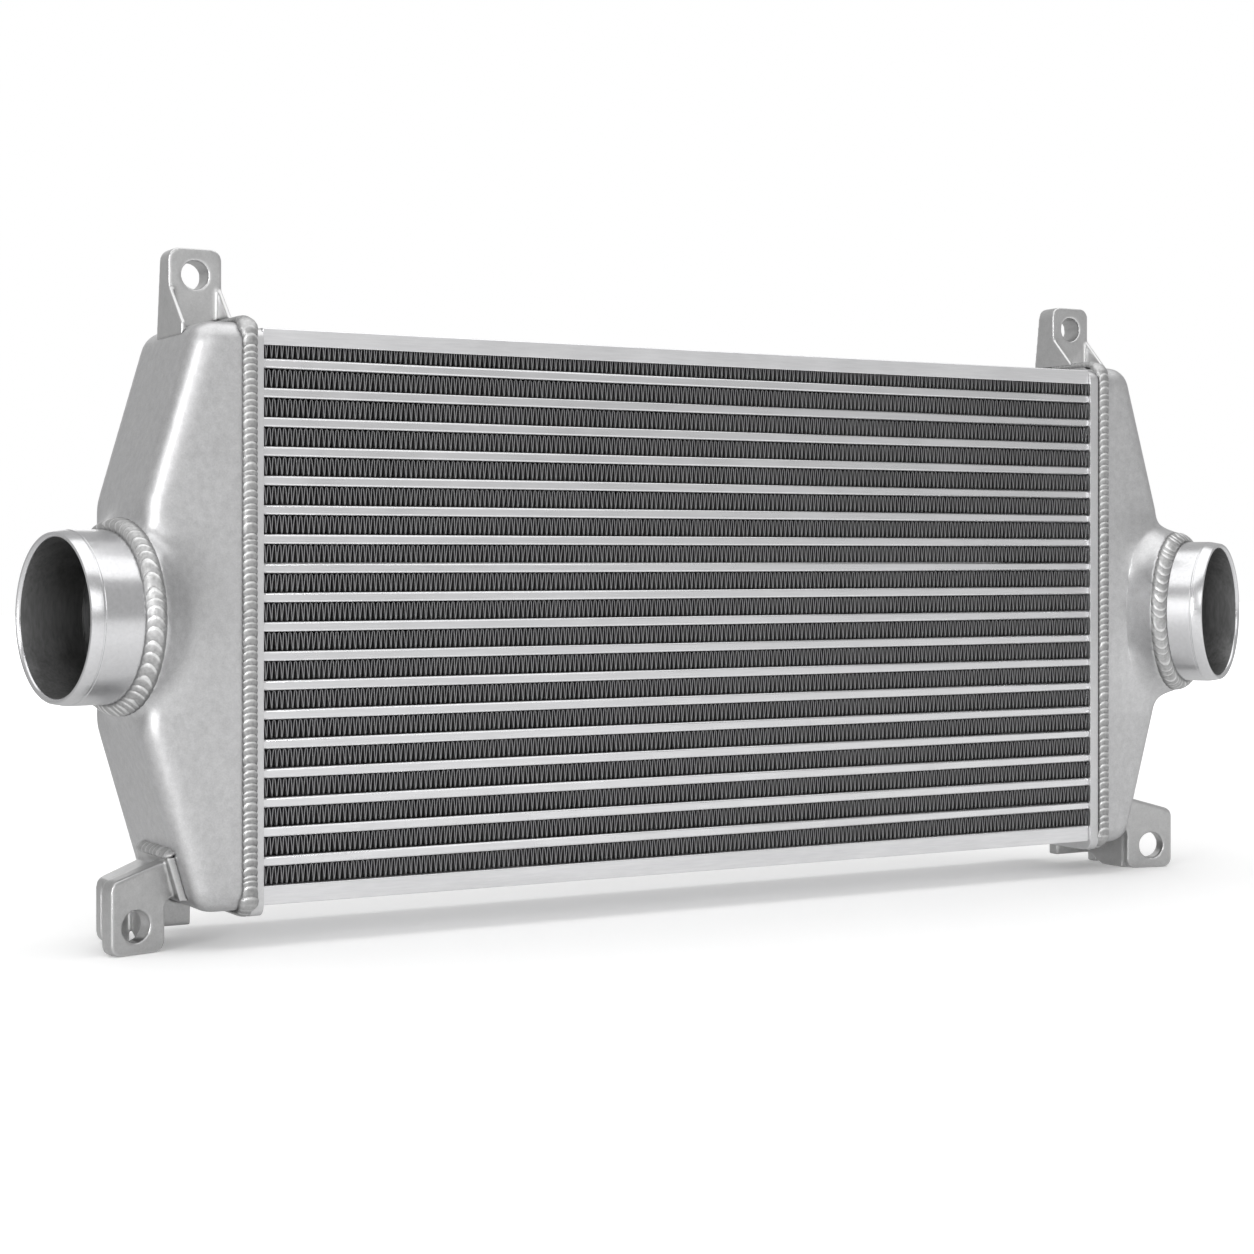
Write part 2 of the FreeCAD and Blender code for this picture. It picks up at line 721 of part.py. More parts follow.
def cheek_wall(side):
    """The inner side wall: it runs back from the front plate and rises off the floor behind."""
    body = new_body(f"cheek_wall_{SIDE_NAME[side]}")
    start = foot_back("cheek_reach")
    outline = polygon(
        body, "cheek_outline", "YZ_Plane",
        [
            (start, FLOOR),
            (f"{FRONT} + cheek_foot", FLOOR),
            (HEEL_FRONT, f"{FLOOR} + heel_lift"),
            (f"{HEEL_FRONT} + web_sink", f"{FLOOR} + heel_lift"),
            (f"{HEEL_FRONT} + web_sink", web_level(CHEEK_OUT)),
            (start, web_level(CHEEK_OUT)),
        ],
    )
    feature(body, "Pad", "cheek_slab", outline, "cheek_gauge")
    put(body, (f"{side} * ({SEAM} + cheek_reach + cheek_gauge / 2)", "0", "0"))
    return body


def top_web(side):
    """The sloping web that closes the bracket's top between the two plates."""
    where = SIDE_NAME[side]
    end = "(heel_reach - web_inset)"
    band = new_body(f"web_band_{where}")
    band_outline = polygon(
        band, "web_outline", "XZ_Plane",
        [
            (f"{side} * ({SEAM} + {HEEL_IN})", web_level(HEEL_IN)),
            (f"{side} * ({SEAM} + {end})", web_level(end)),
            (f"{side} * ({SEAM} + {end})", f"{web_level(end)} - web_gauge"),
            (f"{side} * ({SEAM} + {HEEL_IN})", f"{web_level(HEEL_IN)} - web_gauge"),
        ],
    )
    feature(band, "Pad", "web_slab", band_outline, "2 * core_depth")
    plan = new_body(f"web_plan_{where}")
    plan_outline = polygon(
        plan, "web_plan_outline", "XY_Plane",
        [
            (f"{side} * ({SEAM} + {HEEL_IN})", foot_back(HEEL_IN)),
            (f"{side} * ({SEAM} + {end})", foot_back(end)),
            (f"{side} * ({SEAM} + {end})", f"{HEEL_FRONT} + web_sink"),
            (f"{side} * ({SEAM} + {HEEL_IN})", f"{HEEL_FRONT} + web_sink"),
        ],
    )
    feature(plan, "Pad", "web_prism", plan_outline, f"2 * {CORE_TOP}")
    return boolean("MultiCommon", f"web_{where}", band, plan)


def wall_reach(level):
    """How far outboard of the seam the outer face of a bracket's contact pad stands."""
    return f"(tank_end_reach + {WALL_SLOPE} * ({level} + tank_rise) + pad_gauge)"


PAD_LENGTH = "(heel_setback + heel_gauge - pad_front_gap)"


def contact_pad(side):
    body = new_body(f"contact_pad_{SIDE_NAME[side]}")
    outline = polygon(
        body, "pad_outline", "XZ_Plane",
        [
            (f"{side} * ({SEAM} + {HEEL_IN})", "pad_low"),
            (f"{side} * ({SEAM} + {wall_reach('pad_low')})", "pad_low"),
            (f"{side} * ({SEAM} + {wall_reach('pad_high')})", "pad_high"),
            (f"{side} * ({SEAM} + {HEEL_IN})", "pad_high"),
        ],
    )
    feature(body, "Pad", "pad_block", outline, PAD_LENGTH, symmetric=False, reverse=True)
    put(body, ("0", f"{FRONT} + pad_front_gap", "0"))
    return body


# A lower bracket: a toed-in front plate with the bolt hole, a rear plate, a side wall and a web
# between them, and a contact pad, all one piece and fitted to the tank's sloping wall.
def lower_bracket(side, form):
    where = SIDE_NAME[side]
    pieces = [build(side) for build in (foot_plate, heel_plate, cheek_wall, top_web, contact_pad)]
    document.recompute()
    stock = boolean("MultiFuse", f"bracket_stock_{where}", *pieces)
    bracket = keep(boolean("Cut", f"lower_bracket_{where}", stock, form))

    # The weld runs front to back along the top of the pad, against the tank.
    rod = document.addObject("Part::Cylinder", f"tack_rod_{where}")
    tie(rod, "Radius", "tack_radius")
    tie(rod, "Height", PAD_LENGTH)
    seat = f"{side} * ({SEAM} + {wall_reach('pad_high')} - pad_gauge)"
    put(rod, (seat, HEEL_BACK, "pad_high"), roll="90")
    document.recompute()
    laid = boolean("Cut", f"tack_on_tank_{where}", rod, form)
    keep(boolean("Cut", f"bracket_weld_{where}", laid, bracket))


side_plate_bottom()
for tube_row in range(TUBE_ROWS):
    charge_tube(tube_row)
for fin_row in range(FIN_ROWS):
    air_fin(fin_row)
side_plate_top()
charge_turbulators()
for end in (LEFT, RIGHT):
    end_bars(end)
    header_frame(end)
    tank_form = end_tank(end)
    bead_stock = tank_seam_weld(end)
    keep(boolean("Cut", f"seam_weld_{SIDE_NAME[end]}", bead_stock, tank_form))
    hose_stub(end)
    stub_weld(end)
    upper_lug(end, tank_form, bead_stock)
    lower_bracket(end, tank_form)
document.recompute()

faults = [thing.Name for thing in document.Objects if {"Invalid", "Error"} & set(thing.State)]
for piece in sub_parts:
    if piece.Shape.isNull() or not piece.Shape.isValid() or not piece.Shape.Solids:
        faults.append(piece.Label)
if faults:
    raise SystemExit(f"not built: {faults}")

os.makedirs("parts", exist_ok=True)
for piece in sub_parts:
    piece.Shape.exportStep(f"parts/{piece.Label}.step")
print(len(sub_parts), "sub-parts,", round(sum(p.Shape.Volume for p in sub_parts) / 1000, 1), "cm3")
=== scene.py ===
# %% [markdown]
# # A bar-and-plate charge air cooler
# This lesson dresses a finished engineering model for a photograph. The model gives every size, and it
# never moves. What Blender adds is what a camera sees: folded fins, weld ripples, blended castings and
# metal finishes. The first cell loads the model and prints the size of its box; the box of the dressed one
# is printed at the end.

import math

import bmesh
import bpy
import numpy as np
from mathutils import Matrix, Vector
from mathutils.bvhtree import BVHTree


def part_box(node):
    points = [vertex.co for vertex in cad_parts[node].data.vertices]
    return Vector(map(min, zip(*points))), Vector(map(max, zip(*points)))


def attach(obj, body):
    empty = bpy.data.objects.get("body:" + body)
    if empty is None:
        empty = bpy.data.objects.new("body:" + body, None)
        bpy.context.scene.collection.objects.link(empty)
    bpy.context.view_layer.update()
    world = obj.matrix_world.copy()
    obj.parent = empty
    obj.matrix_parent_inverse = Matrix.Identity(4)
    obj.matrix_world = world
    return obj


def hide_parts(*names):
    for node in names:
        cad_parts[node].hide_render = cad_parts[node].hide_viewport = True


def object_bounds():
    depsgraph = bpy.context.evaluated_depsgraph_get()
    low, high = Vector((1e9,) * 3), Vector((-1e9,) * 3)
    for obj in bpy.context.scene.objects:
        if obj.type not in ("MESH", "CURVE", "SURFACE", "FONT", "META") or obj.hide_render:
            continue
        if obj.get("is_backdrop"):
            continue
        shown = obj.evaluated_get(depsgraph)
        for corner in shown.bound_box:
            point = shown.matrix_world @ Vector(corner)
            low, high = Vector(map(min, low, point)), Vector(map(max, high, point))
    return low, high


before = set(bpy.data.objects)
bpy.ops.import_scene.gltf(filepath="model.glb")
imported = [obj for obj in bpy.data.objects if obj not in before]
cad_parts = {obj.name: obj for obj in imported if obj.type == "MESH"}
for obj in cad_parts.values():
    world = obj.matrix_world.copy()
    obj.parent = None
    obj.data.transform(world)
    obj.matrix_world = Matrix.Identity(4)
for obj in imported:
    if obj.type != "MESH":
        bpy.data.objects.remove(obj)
cad_low, cad_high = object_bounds()
MM = 0.001
print("model box in mm:", [round(v / MM, 1) for v in (*cad_low, *cad_high)])

# %% [markdown]
# ## Camera
# The photograph was taken a little above the middle of the cooler, turned about 30 degrees to its left end,
# with a long lens held level. A level camera keeps upright edges parallel, so the picture is shifted down
# with the lens shift and the camera itself isn't tilted.

# %% Camera
CAMERA_PLACE = (-612.0 * MM, -1013.5 * MM, 152.4 * MM)
CAMERA_TURN = math.radians(-29.9)
camera_data = bpy.data.cameras.new("camera")
camera_data.lens = 67.46
camera_data.sensor_width = 36.0
camera_data.shift_y = -0.0545
camera = bpy.data.objects.new("camera", camera_data)
camera.location = CAMERA_PLACE
camera.rotation_euler = (math.pi / 2, 0, CAMERA_TURN)
bpy.context.scene.collection.objects.link(camera)
bpy.context.scene.camera = camera
bpy.context.scene.view_settings.view_transform = "Standard"
print("camera lens", camera_data.lens)

# %% [markdown]
# ## Helpers for pieces
# A finished piece is a plain mesh at the origin. These helpers make such a mesh, give it its material, put
# it under the root and hide the model nodes that it stands for. A copy of a model node is loose triangles, so
# its doubles are merged and its flat faces are joined before any edge is rounded.

# %% Helpers for pieces
SAME_POINT = 1e-6
FLAT_ANGLE = math.radians(0.5)


def new_object(name, mesh):
    piece = bpy.data.objects.new(name, mesh)
    bpy.context.scene.collection.objects.link(piece)
    return piece


def applied(piece):
    """The piece's mesh with its modifiers worked in, and the modifiers taken off."""
    depsgraph = bpy.context.evaluated_depsgraph_get()
    mesh = bpy.data.meshes.new_from_object(piece.evaluated_get(depsgraph), depsgraph=depsgraph)
    piece.modifiers.clear()
    old = piece.data
    piece.data = mesh
    bpy.data.meshes.remove(old)
    return piece


def joined_form(node):
    """A model node's form, with the doubles of its loose triangles merged."""
    form = bmesh.new()
    form.from_mesh(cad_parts[node].data)
    bmesh.ops.remove_doubles(form, verts=form.verts, dist=SAME_POINT)
    return form


def merged_copy(name, node, whole_faces=True):
    """A new piece with a model node's form, as whole faces in place of triangles unless they are to stay."""
    mesh = bpy.data.meshes.new(name)
    form = joined_form(node)
    if whole_faces:
        bmesh.ops.dissolve_limit(form, angle_limit=FLAT_ANGLE, verts=form.verts, edges=form.edges)
    form.to_mesh(mesh)
    form.free()
    return new_object(name, mesh)


def shade(piece, angle):
    """Smooth shading, with edges sharper than the angle left crisp."""
    piece.data.shade_smooth()
    piece.data.set_sharp_from_angle(angle=math.radians(angle))
    return piece


def hand_over(piece, slot, material, *nodes):
    """Give a piece its material, its place on the model and the nodes that it stands for."""
    piece.data.materials.clear()
    piece.data.materials.append(material)
    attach(piece, "root")
    if nodes:
        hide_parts(*nodes)
    return piece


print("nodes in the model:", len(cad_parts))

# %% [markdown]
# ## Helpers for node trees
# The finishes and the shapes that repeat are node trees, built in code. Their sums are Math nodes, so short
# functions stand for the four kinds of sum, and a formula can be read in one line.

# %% Helpers for node trees
def add_node(tree, kind, **settings):
    node = tree.nodes.new(kind)
    for name, value in settings.items():
        setattr(node, name, value)
    return node


def link(tree, source, target):
    """Feed a socket from another node's output, or set it to a number."""
    if isinstance(source, (int, float)):
        target.default_value = source
    else:
        tree.links.new(source, target)


def calculate(tree, operation, *operands):
    """A Math node: each operand is a number or another node's output."""
    node = add_node(tree, "ShaderNodeMath", operation=operation)
    for value, socket in zip(operands, node.inputs):
        link(tree, value, socket)
    return node.outputs[0]


def sums(tree, operations=("MULTIPLY", "ADD", "SUBTRACT", "DIVIDE")):
    """Sums of one tree as functions: times, plus, minus and over, unless others are named."""
    def made(operation):
        return lambda *operands: calculate(tree, operation, *operands)

    return [made(operation) for operation in operations]


print("helpers for node trees are ready")

# %% [markdown]
# ## Metal finishes
# Every metal here is bare aluminium, so the finishes share one colour family and differ in roughness, grain
# and direction. A pattern could come from a picture, but noise in object space needs none, has no seams and
# stays in scale, so each finish is a few noise textures that drive colour, roughness and a bump. Rounded
# edges of lugs and brackets get a painted highlight, and weld ripples a painted highlight on their lips with
# painted shade in their hollows and at their toes: their pieces carry a value on every point, and the finish
# reads it. The bores, the tanks' inner walls and the fins get darker greys as painted shade.

# %% Helpers for finishes
BROAD_PATCH = 28 * MM


def start_finish(name, metallic=1.0):
    material = bpy.data.materials.new(name)
    material.use_nodes = True
    tree = material.node_tree
    shader = tree.nodes["Principled BSDF"]
    shader.inputs["Metallic"].default_value = metallic
    return material, tree, shader


def object_space(tree, stretch=(1, 1, 1)):
    """Object coordinates, stretched along some axes so that a round grain becomes drawn lines."""
    coordinates = add_node(tree, "ShaderNodeTexCoord")
    mapping = add_node(tree, "ShaderNodeMapping")
    mapping.inputs["Scale"].default_value = stretch
    tree.links.new(coordinates.outputs["Object"], mapping.inputs["Vector"])
    return mapping.outputs["Vector"]


def noise(tree, vector, size, detail, roughness):
    """Noise whose scale is given as the size of its features in metres."""
    texture = add_node(tree, "ShaderNodeTexNoise")
    texture.inputs["Scale"].default_value = 1.0 / size
    texture.inputs["Detail"].default_value = detail
    texture.inputs["Roughness"].default_value = roughness
    tree.links.new(vector, texture.inputs["Vector"])
    return texture.outputs["Fac"]


def spread(tree, value, low, high, low_in=0.3, high_in=0.7):
    """Stretch a value from its own range, by default the usual one of noise, to the one that is wanted."""
    node = add_node(tree, "ShaderNodeMapRange")
    node.inputs["From Min"].default_value = low_in
    node.inputs["From Max"].default_value = high_in
    node.inputs["To Min"].default_value = low
    node.inputs["To Max"].default_value = high
    tree.links.new(value, node.inputs["Value"])
    return node.outputs["Result"]


def mix_greys(tree, factor, first, second, blue=0.0):
    """A colour between two greys, where the first may also be a colour that another node gives."""
    node = add_node(tree, "ShaderNodeMix", data_type="RGBA")
    tree.links.new(factor, node.inputs["Factor"])
    if isinstance(first, float):
        node.inputs["A"].default_value = (first, first, first + blue, 1)
    else:
        tree.links.new(first, node.inputs["A"])
    node.inputs["B"].default_value = (second, second, second + blue, 1)
    return node.outputs["Result"]


def metal(name, dark, light, rough, grain, relief, blue=0.0, stretch=(1, 1, 1), metallic=1.0, edge=None):
    """A metal finish: mottled grey, uneven gloss, a fine grain, and, if given, a lighter grey painted on
    rounded edges as a highlight.
    """
    material, tree, shader = start_finish(name, metallic)
    times, plus, _, _ = sums(tree)
    space = object_space(tree, stretch)
    fine = noise(tree, space, grain, 3.0, 0.6)
    middle = noise(tree, space, grain * 5, 3.0, 0.6)
    broad = noise(tree, object_space(tree), BROAD_PATCH, 3.0, 0.5)
    mottle = plus(times(fine, 0.5), times(middle, 0.5))
    colour = mix_greys(tree, spread(tree, mottle, 0, 1), dark, light, blue)
    # A given edge grey is a painted highlight, laid where the piece's edge value says.
    if edge:
        painted_edge_highlight = add_node(tree, "ShaderNodeAttribute", attribute_name="painted_edge_highlight")
        colour = mix_greys(tree, painted_edge_highlight.outputs["Fac"], colour, edge)
    tree.links.new(colour, shader.inputs["Base Color"])
    tree.links.new(spread(tree, broad, *rough), shader.inputs["Roughness"])
    bump = add_node(tree, "ShaderNodeBump")
    bump.inputs["Strength"].default_value = 1.0
    bump.inputs["Distance"].default_value = relief
    tree.links.new(fine, bump.inputs["Height"])
    tree.links.new(bump.outputs["Normal"], shader.inputs["Normal"])
    return material


def painted_ripple_metal(name, painted_shade_grey, painted_highlight_grey):
    """Weld metal with painted light: a brighter grey on a ripple's lip as a painted highlight, and a darker
    grey as painted shade in the hollow behind it and along the toes, where it is also duller.
    """
    material, tree, shader = start_finish(name)
    lip_and_painted_light = add_node(tree, "ShaderNodeAttribute", attribute_name="lip_and_painted_light")
    grain = noise(tree, object_space(tree), 1.4 * MM, 2.0, 0.5)
    # The lip value is painted light: a bright grey on the lips as a painted highlight, a dark grey in the
    # hollows and at the toes as painted shade.
    painted_light_level = calculate(tree, "ADD", lip_and_painted_light.outputs["Fac"], spread(tree, grain, -0.1, 0.1))
    tone = spread(tree, painted_light_level, 0, 1, 0.0, 0.95)
    tree.links.new(mix_greys(tree, tone, painted_shade_grey, painted_highlight_grey), shader.inputs["Base Color"])
    tree.links.new(spread(tree, painted_light_level, 0.55, 0.38, 0.1, 0.9), shader.inputs["Roughness"])
    return material


print("a broad patch of a finish is", BROAD_PATCH / MM, "mm wide")

# %% [markdown]
# The finishes themselves: bars and plates drawn along the core, milled headers and lugs, blasted castings,
# turned stubs with dull bores darkened as painted shade, weld metal with painted highlights and painted
# shade, and the fins' sheet darkened as painted shade. Each has a dark and a light grey, a range of
# roughness, the size of its grain and the grain's height.

# %% Finishes
DRAWN = (0.08, 1, 1)
ROUND_A_BORE = (1, 1, 0.15)

bar_metal = metal("drawn_bar", 0.68, 0.80, (0.24, 0.32), 0.9 * MM, 0.010 * MM, blue=0.01, stretch=DRAWN)
plate_metal = metal("drawn_plate", 0.74, 0.86, (0.34, 0.44), 0.9 * MM, 0.012 * MM, blue=0.01, stretch=DRAWN)
header_metal = metal("milled_header", 0.62, 0.72, (0.34, 0.44), 1.0 * MM, 0.012 * MM, blue=0.005)
cast_metal = metal("blasted_casting", 0.50, 0.66, (0.38, 0.46), 0.7 * MM, 0.06 * MM, blue=0.005)
# The edge greys of lugs and brackets are painted highlights on their rounded edges.
lug_metal = metal("milled_lug", 0.50, 0.62, (0.32, 0.40), 0.9 * MM, 0.02 * MM, edge=0.64)
bracket_metal = metal("cast_bracket", 0.43, 0.54, (0.30, 0.38), 0.8 * MM, 0.02 * MM, edge=0.60)
# The weld greys run from painted shade in a ripple's hollow to a painted highlight on its lip.
weld_metal_with_painted_light = painted_ripple_metal("weld_bead", 0.26, 0.88)
seam_metal_with_painted_light = painted_ripple_metal("seam_bead", 0.21, 0.74)
# The fins' dark greys are painted shade, for the shade deep between the folds.
fin_metal_with_painted_shade = metal("folded_sheet_painted_shade", 0.26, 0.38, (0.42, 0.55), 0.8 * MM, 0.01 * MM, blue=0.005, metallic=0.9)
turned_metal = metal("turned_stub", 0.60, 0.70, (0.20, 0.26), 0.35 * MM, 0.004 * MM, blue=0.01)
# The bore's dark greys are painted shade inside the tubes and the tanks; its roughness is the bore's own dull
# finish.
bore_metal_with_painted_shade = metal("bore_painted_shade", 0.17, 0.32, (0.42, 0.55), 1.2 * MM, 0.01 * MM, stretch=ROUND_A_BORE)
for finish in (bar_metal, cast_metal, lug_metal, weld_metal_with_painted_light, fin_metal_with_painted_shade, turned_metal):
    print("finish", finish.name, len(finish.node_tree.nodes), "nodes")

# %% [markdown]
# ## Helpers for geometry trees
# Geometry Nodes make what repeats. A tree gets sockets with plain names on its interface, nodes, and links.
# The modifier's inputs are then set by each socket's identifier, before the piece is first evaluated.

# %% Helpers for geometry trees
def new_tree(name, inputs):
    """A geometry tree with named inputs and their values: a whole number makes an integer socket."""
    tree = bpy.data.node_groups.new(name, "GeometryNodeTree")
    tree.interface.new_socket("Geometry", in_out="INPUT", socket_type="NodeSocketGeometry")
    for label, value in inputs.items():
        kind = "NodeSocketInt" if isinstance(value, int) else "NodeSocketFloat"
        tree.interface.new_socket(label, in_out="INPUT", socket_type=kind).default_value = value
    tree.interface.new_socket("Geometry", in_out="OUTPUT", socket_type="NodeSocketGeometry")
    return tree, add_node(tree, "NodeGroupInput").outputs


def place_in(tree):
    """The X, Y and Z of each point."""
    parts = add_node(tree, "ShaderNodeSeparateXYZ")
    tree.links.new(add_node(tree, "GeometryNodeInputPosition").outputs[0], parts.inputs[0])
    return parts.outputs


def vector_of(tree, x, y, z):
    node = add_node(tree, "ShaderNodeCombineXYZ")
    for value, socket in zip((x, y, z), node.inputs):
        link(tree, value, socket)
    return node.outputs[0]


def added(tree, start, vector, factor):
    """A vector plus a multiple of another one."""
    part = add_node(tree, "ShaderNodeVectorMath", operation="SCALE")
    tree.links.new(vector, part.inputs[0])
    tree.links.new(factor, part.inputs["Scale"])
    whole = add_node(tree, "ShaderNodeVectorMath", operation="ADD")
    tree.links.new(start, whole.inputs[0])
    tree.links.new(part.outputs[0], whole.inputs[1])
    return whole.outputs[0]


def curve_of(tree, value, points):
    """A Float Curve: a shape drawn through (x, y) points."""
    node = add_node(tree, "ShaderNodeFloatCurve")
    tree.links.new(value, node.inputs["Value"])
    curve = node.mapping.curves[0]
    curve.points[0].location = points[0]
    curve.points[1].location = points[-1]
    for x, y in points[1:-1]:
        curve.points.new(x, y)
    node.mapping.update()
    return node.outputs[0]


def uneven(tree, place, seed):
    """Noise from -1 to 1 along a value, with a seed."""
    times, _, minus, _ = sums(tree)
    node = add_node(tree, "ShaderNodeTexNoise", noise_dimensions="2D")
    node.inputs["Scale"].default_value = 1.0
    node.inputs["Detail"].default_value = 1.0
    tree.links.new(vector_of(tree, place, times(seed, 7.31), 0.0), node.inputs["Vector"])
    return times(minus(node.outputs["Fac"], 0.5), 2.0)


def moved(tree, geometry, position):
    node = add_node(tree, "GeometryNodeSetPosition")
    tree.links.new(geometry, node.inputs["Geometry"])
    tree.links.new(position, node.inputs["Position"])
    return node.outputs["Geometry"]


def close_tree(tree, geometry, distance, material):
    """Merge the seams, realize what is instanced, set the material and end the tree."""
    merge = add_node(tree, "GeometryNodeMergeByDistance")
    merge.inputs["Distance"].default_value = distance
    realize = add_node(tree, "GeometryNodeRealizeInstances")
    paint = add_node(tree, "GeometryNodeSetMaterial")
    paint.inputs["Material"].default_value = material
    for node in (merge, realize, paint):
        tree.links.new(geometry, node.inputs["Geometry"])
        geometry = node.outputs["Geometry"]
    tree.links.new(geometry, add_node(tree, "NodeGroupOutput").inputs["Geometry"])
    return tree


def grown(name, tree, mesh, **values):
    """A piece made by a tree, as a plain mesh, with the tree's inputs set by name."""
    piece = new_object(name, mesh)
    modifier = piece.modifiers.new("tree", "NODES")
    modifier.node_group = tree
    names = {item.name: item.identifier for item in tree.interface.items_tree if item.in_out == "INPUT"}
    for label, value in values.items():
        modifier[names[label.replace("_", " ")]] = value
    return applied(piece)


print("helpers for geometry trees are ready")

# %% [markdown]
# ## Cooling fins
# Between two bars runs one strip of thin sheet, folded to and fro about every 2.5 mm. The camera sees only
# the strip's front edge, as a row of narrow waves over deep shadow. The strip follows a rule, so a tree
# makes it: a flat grid whose points are lifted by a wave, wander a little as real folds do, and get the
# sheet's thickness.

# %% A tree for a folded strip
STEPS_PER_FOLD = 8.0
FOLD_SHAPE = [
    (0, 0), (0.125, 0.09), (0.25, 0.5), (0.375, 0.91), (0.5, 1),
    (0.625, 0.91), (0.75, 0.5), (0.875, 0.09), (1, 0),
]
LEAN_PER_FOLD = 0.35
DRIFT_PER_FOLD = 0.9


def folded_strip_tree(material):
    tree, given = new_tree("folded_strip", {
        "Length": 0.472, "Depth": 0.072, "Height": 0.0085, "Folds": 189, "Gauge": 0.00025, "Wander": 0.0003,
        "Seed": 1,
    })
    times, plus, minus, over = sums(tree)
    grid = add_node(tree, "GeometryNodeMeshGrid")
    link(tree, given["Length"], grid.inputs["Size X"])
    link(tree, given["Depth"], grid.inputs["Size Y"])
    link(tree, plus(times(given["Folds"], STEPS_PER_FOLD), 1.0), grid.inputs["Vertices X"])
    grid.inputs["Vertices Y"].default_value = 2
    place = place_in(tree)
    fold = times(plus(over(place["X"], given["Length"]), 0.5), given["Folds"])
    wave = curve_of(tree, calculate(tree, "FRACT", fold), FOLD_SHAPE)
    level = times(minus(wave, 0.5), given["Height"])
    lean = times(uneven(tree, times(fold, LEAN_PER_FOLD), given["Seed"]), given["Wander"])
    tilt = times(lean, minus(times(wave, 4.0), 2.0))
    drift = times(uneven(tree, times(fold, DRIFT_PER_FOLD), plus(given["Seed"], 40.0)), given["Wander"])
    x = plus(plus(place["X"], tilt), drift)
    sheet = moved(tree, grid.outputs["Mesh"], vector_of(tree, x, place["Y"], level))
    lower = add_node(tree, "GeometryNodeFlipFaces")
    upper = add_node(tree, "GeometryNodeExtrudeMesh")
    link(tree, given["Gauge"], upper.inputs["Offset Scale"])
    upper.inputs["Individual"].default_value = False
    both = add_node(tree, "GeometryNodeJoinGeometry")
    for side in (lower, upper):
        tree.links.new(sheet, side.inputs["Mesh"])
        tree.links.new(side.outputs["Mesh"], both.inputs["Geometry"])
    return close_tree(tree, both.outputs["Geometry"], SAME_POINT, material)


fin_tree = folded_strip_tree(fin_metal_with_painted_shade)
print("fin tree:", len(fin_tree.nodes), "nodes")

# %% [markdown]
# Each row of fins fills the box of its model node, a little lower than the gap between the sheets. The
# sheet is thicker than the real 0.2 mm, because a thinner edge would vanish between two pixels.

# %% Fins in every row
FIN_PITCH = 2.5 * MM
FIN_GAUGE = 0.38 * MM
FIN_WANDER = 0.22 * MM
ROW_CLEARANCE = 0.4 * MM

fin_rows = sorted(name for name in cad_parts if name.startswith("air_fin_"))
for row, node in enumerate(fin_rows):
    low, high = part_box(node)
    size = high - low
    name = f"{node}_folds"
    strip = grown(
        name, fin_tree, bpy.data.meshes.new(name), Length=size.x, Depth=size.y, Height=size.z - ROW_CLEARANCE,
        Folds=round(size.x / FIN_PITCH), Gauge=FIN_GAUGE, Wander=FIN_WANDER, Seed=row + 1,
    )
    strip.data.transform(Matrix.Translation((low + high) / 2))
    shade(strip, 50)
    hand_over(strip, "air_fin", fin_metal_with_painted_shade, node)
print(len(fin_rows), "fin rows,", len(strip.data.polygons), "faces in each")

# %% [markdown]
# ## Weld beads
# A hand-laid bead is a row of overlapping puddles, each frozen as a crescent that bows along the welder's
# path. A texture could paint them, but only real relief catches the lamps on one lip and darkens the hollow
# behind it. The crescents repeat along a path, so a tree lays them: a grid is wrapped round a path as a
# rounded band, and a curve for one puddle's height shrinks the band between two lips. Two directions on the
# path say how the band stands. A second curve gives each lip a painted highlight and the hollow behind it
# painted shade, the toes get painted shade as well, and the tree stores this painted light on the points for
# the weld metal to read.

# %% A tree for a weld bead
LIP_SHAPE = [(0, 0), (0.08, 0.3), (0.25, 0.6), (0.5, 0.85), (0.7, 1), (0.85, 0.88), (0.95, 0.4), (1, 0)]
# How bright each part of a puddle is painted: painted highlight on the lip, painted shade in the hollow.
PAINTED_GLINT_SHAPE = [(0, 0), (0.1, 0.2), (0.5, 0.3), (0.66, 0.45), (0.77, 1), (0.92, 1), (0.98, 0.3), (1, 0)]
MEAN_PAINTED_GLINT = 0.35
LAST_PUDDLE_SWELL = 0.3
LAST_PUDDLE_PAINTED_GLINT = 0.5
# Painted shade darkens the band towards its toes.
TOE_PAINTED_SHADE_START = 0.6
TOE_PAINTED_SHADE_SLOPE = 4.0
END_SLOPE = 12.0
BAND_MERGE = 2e-6


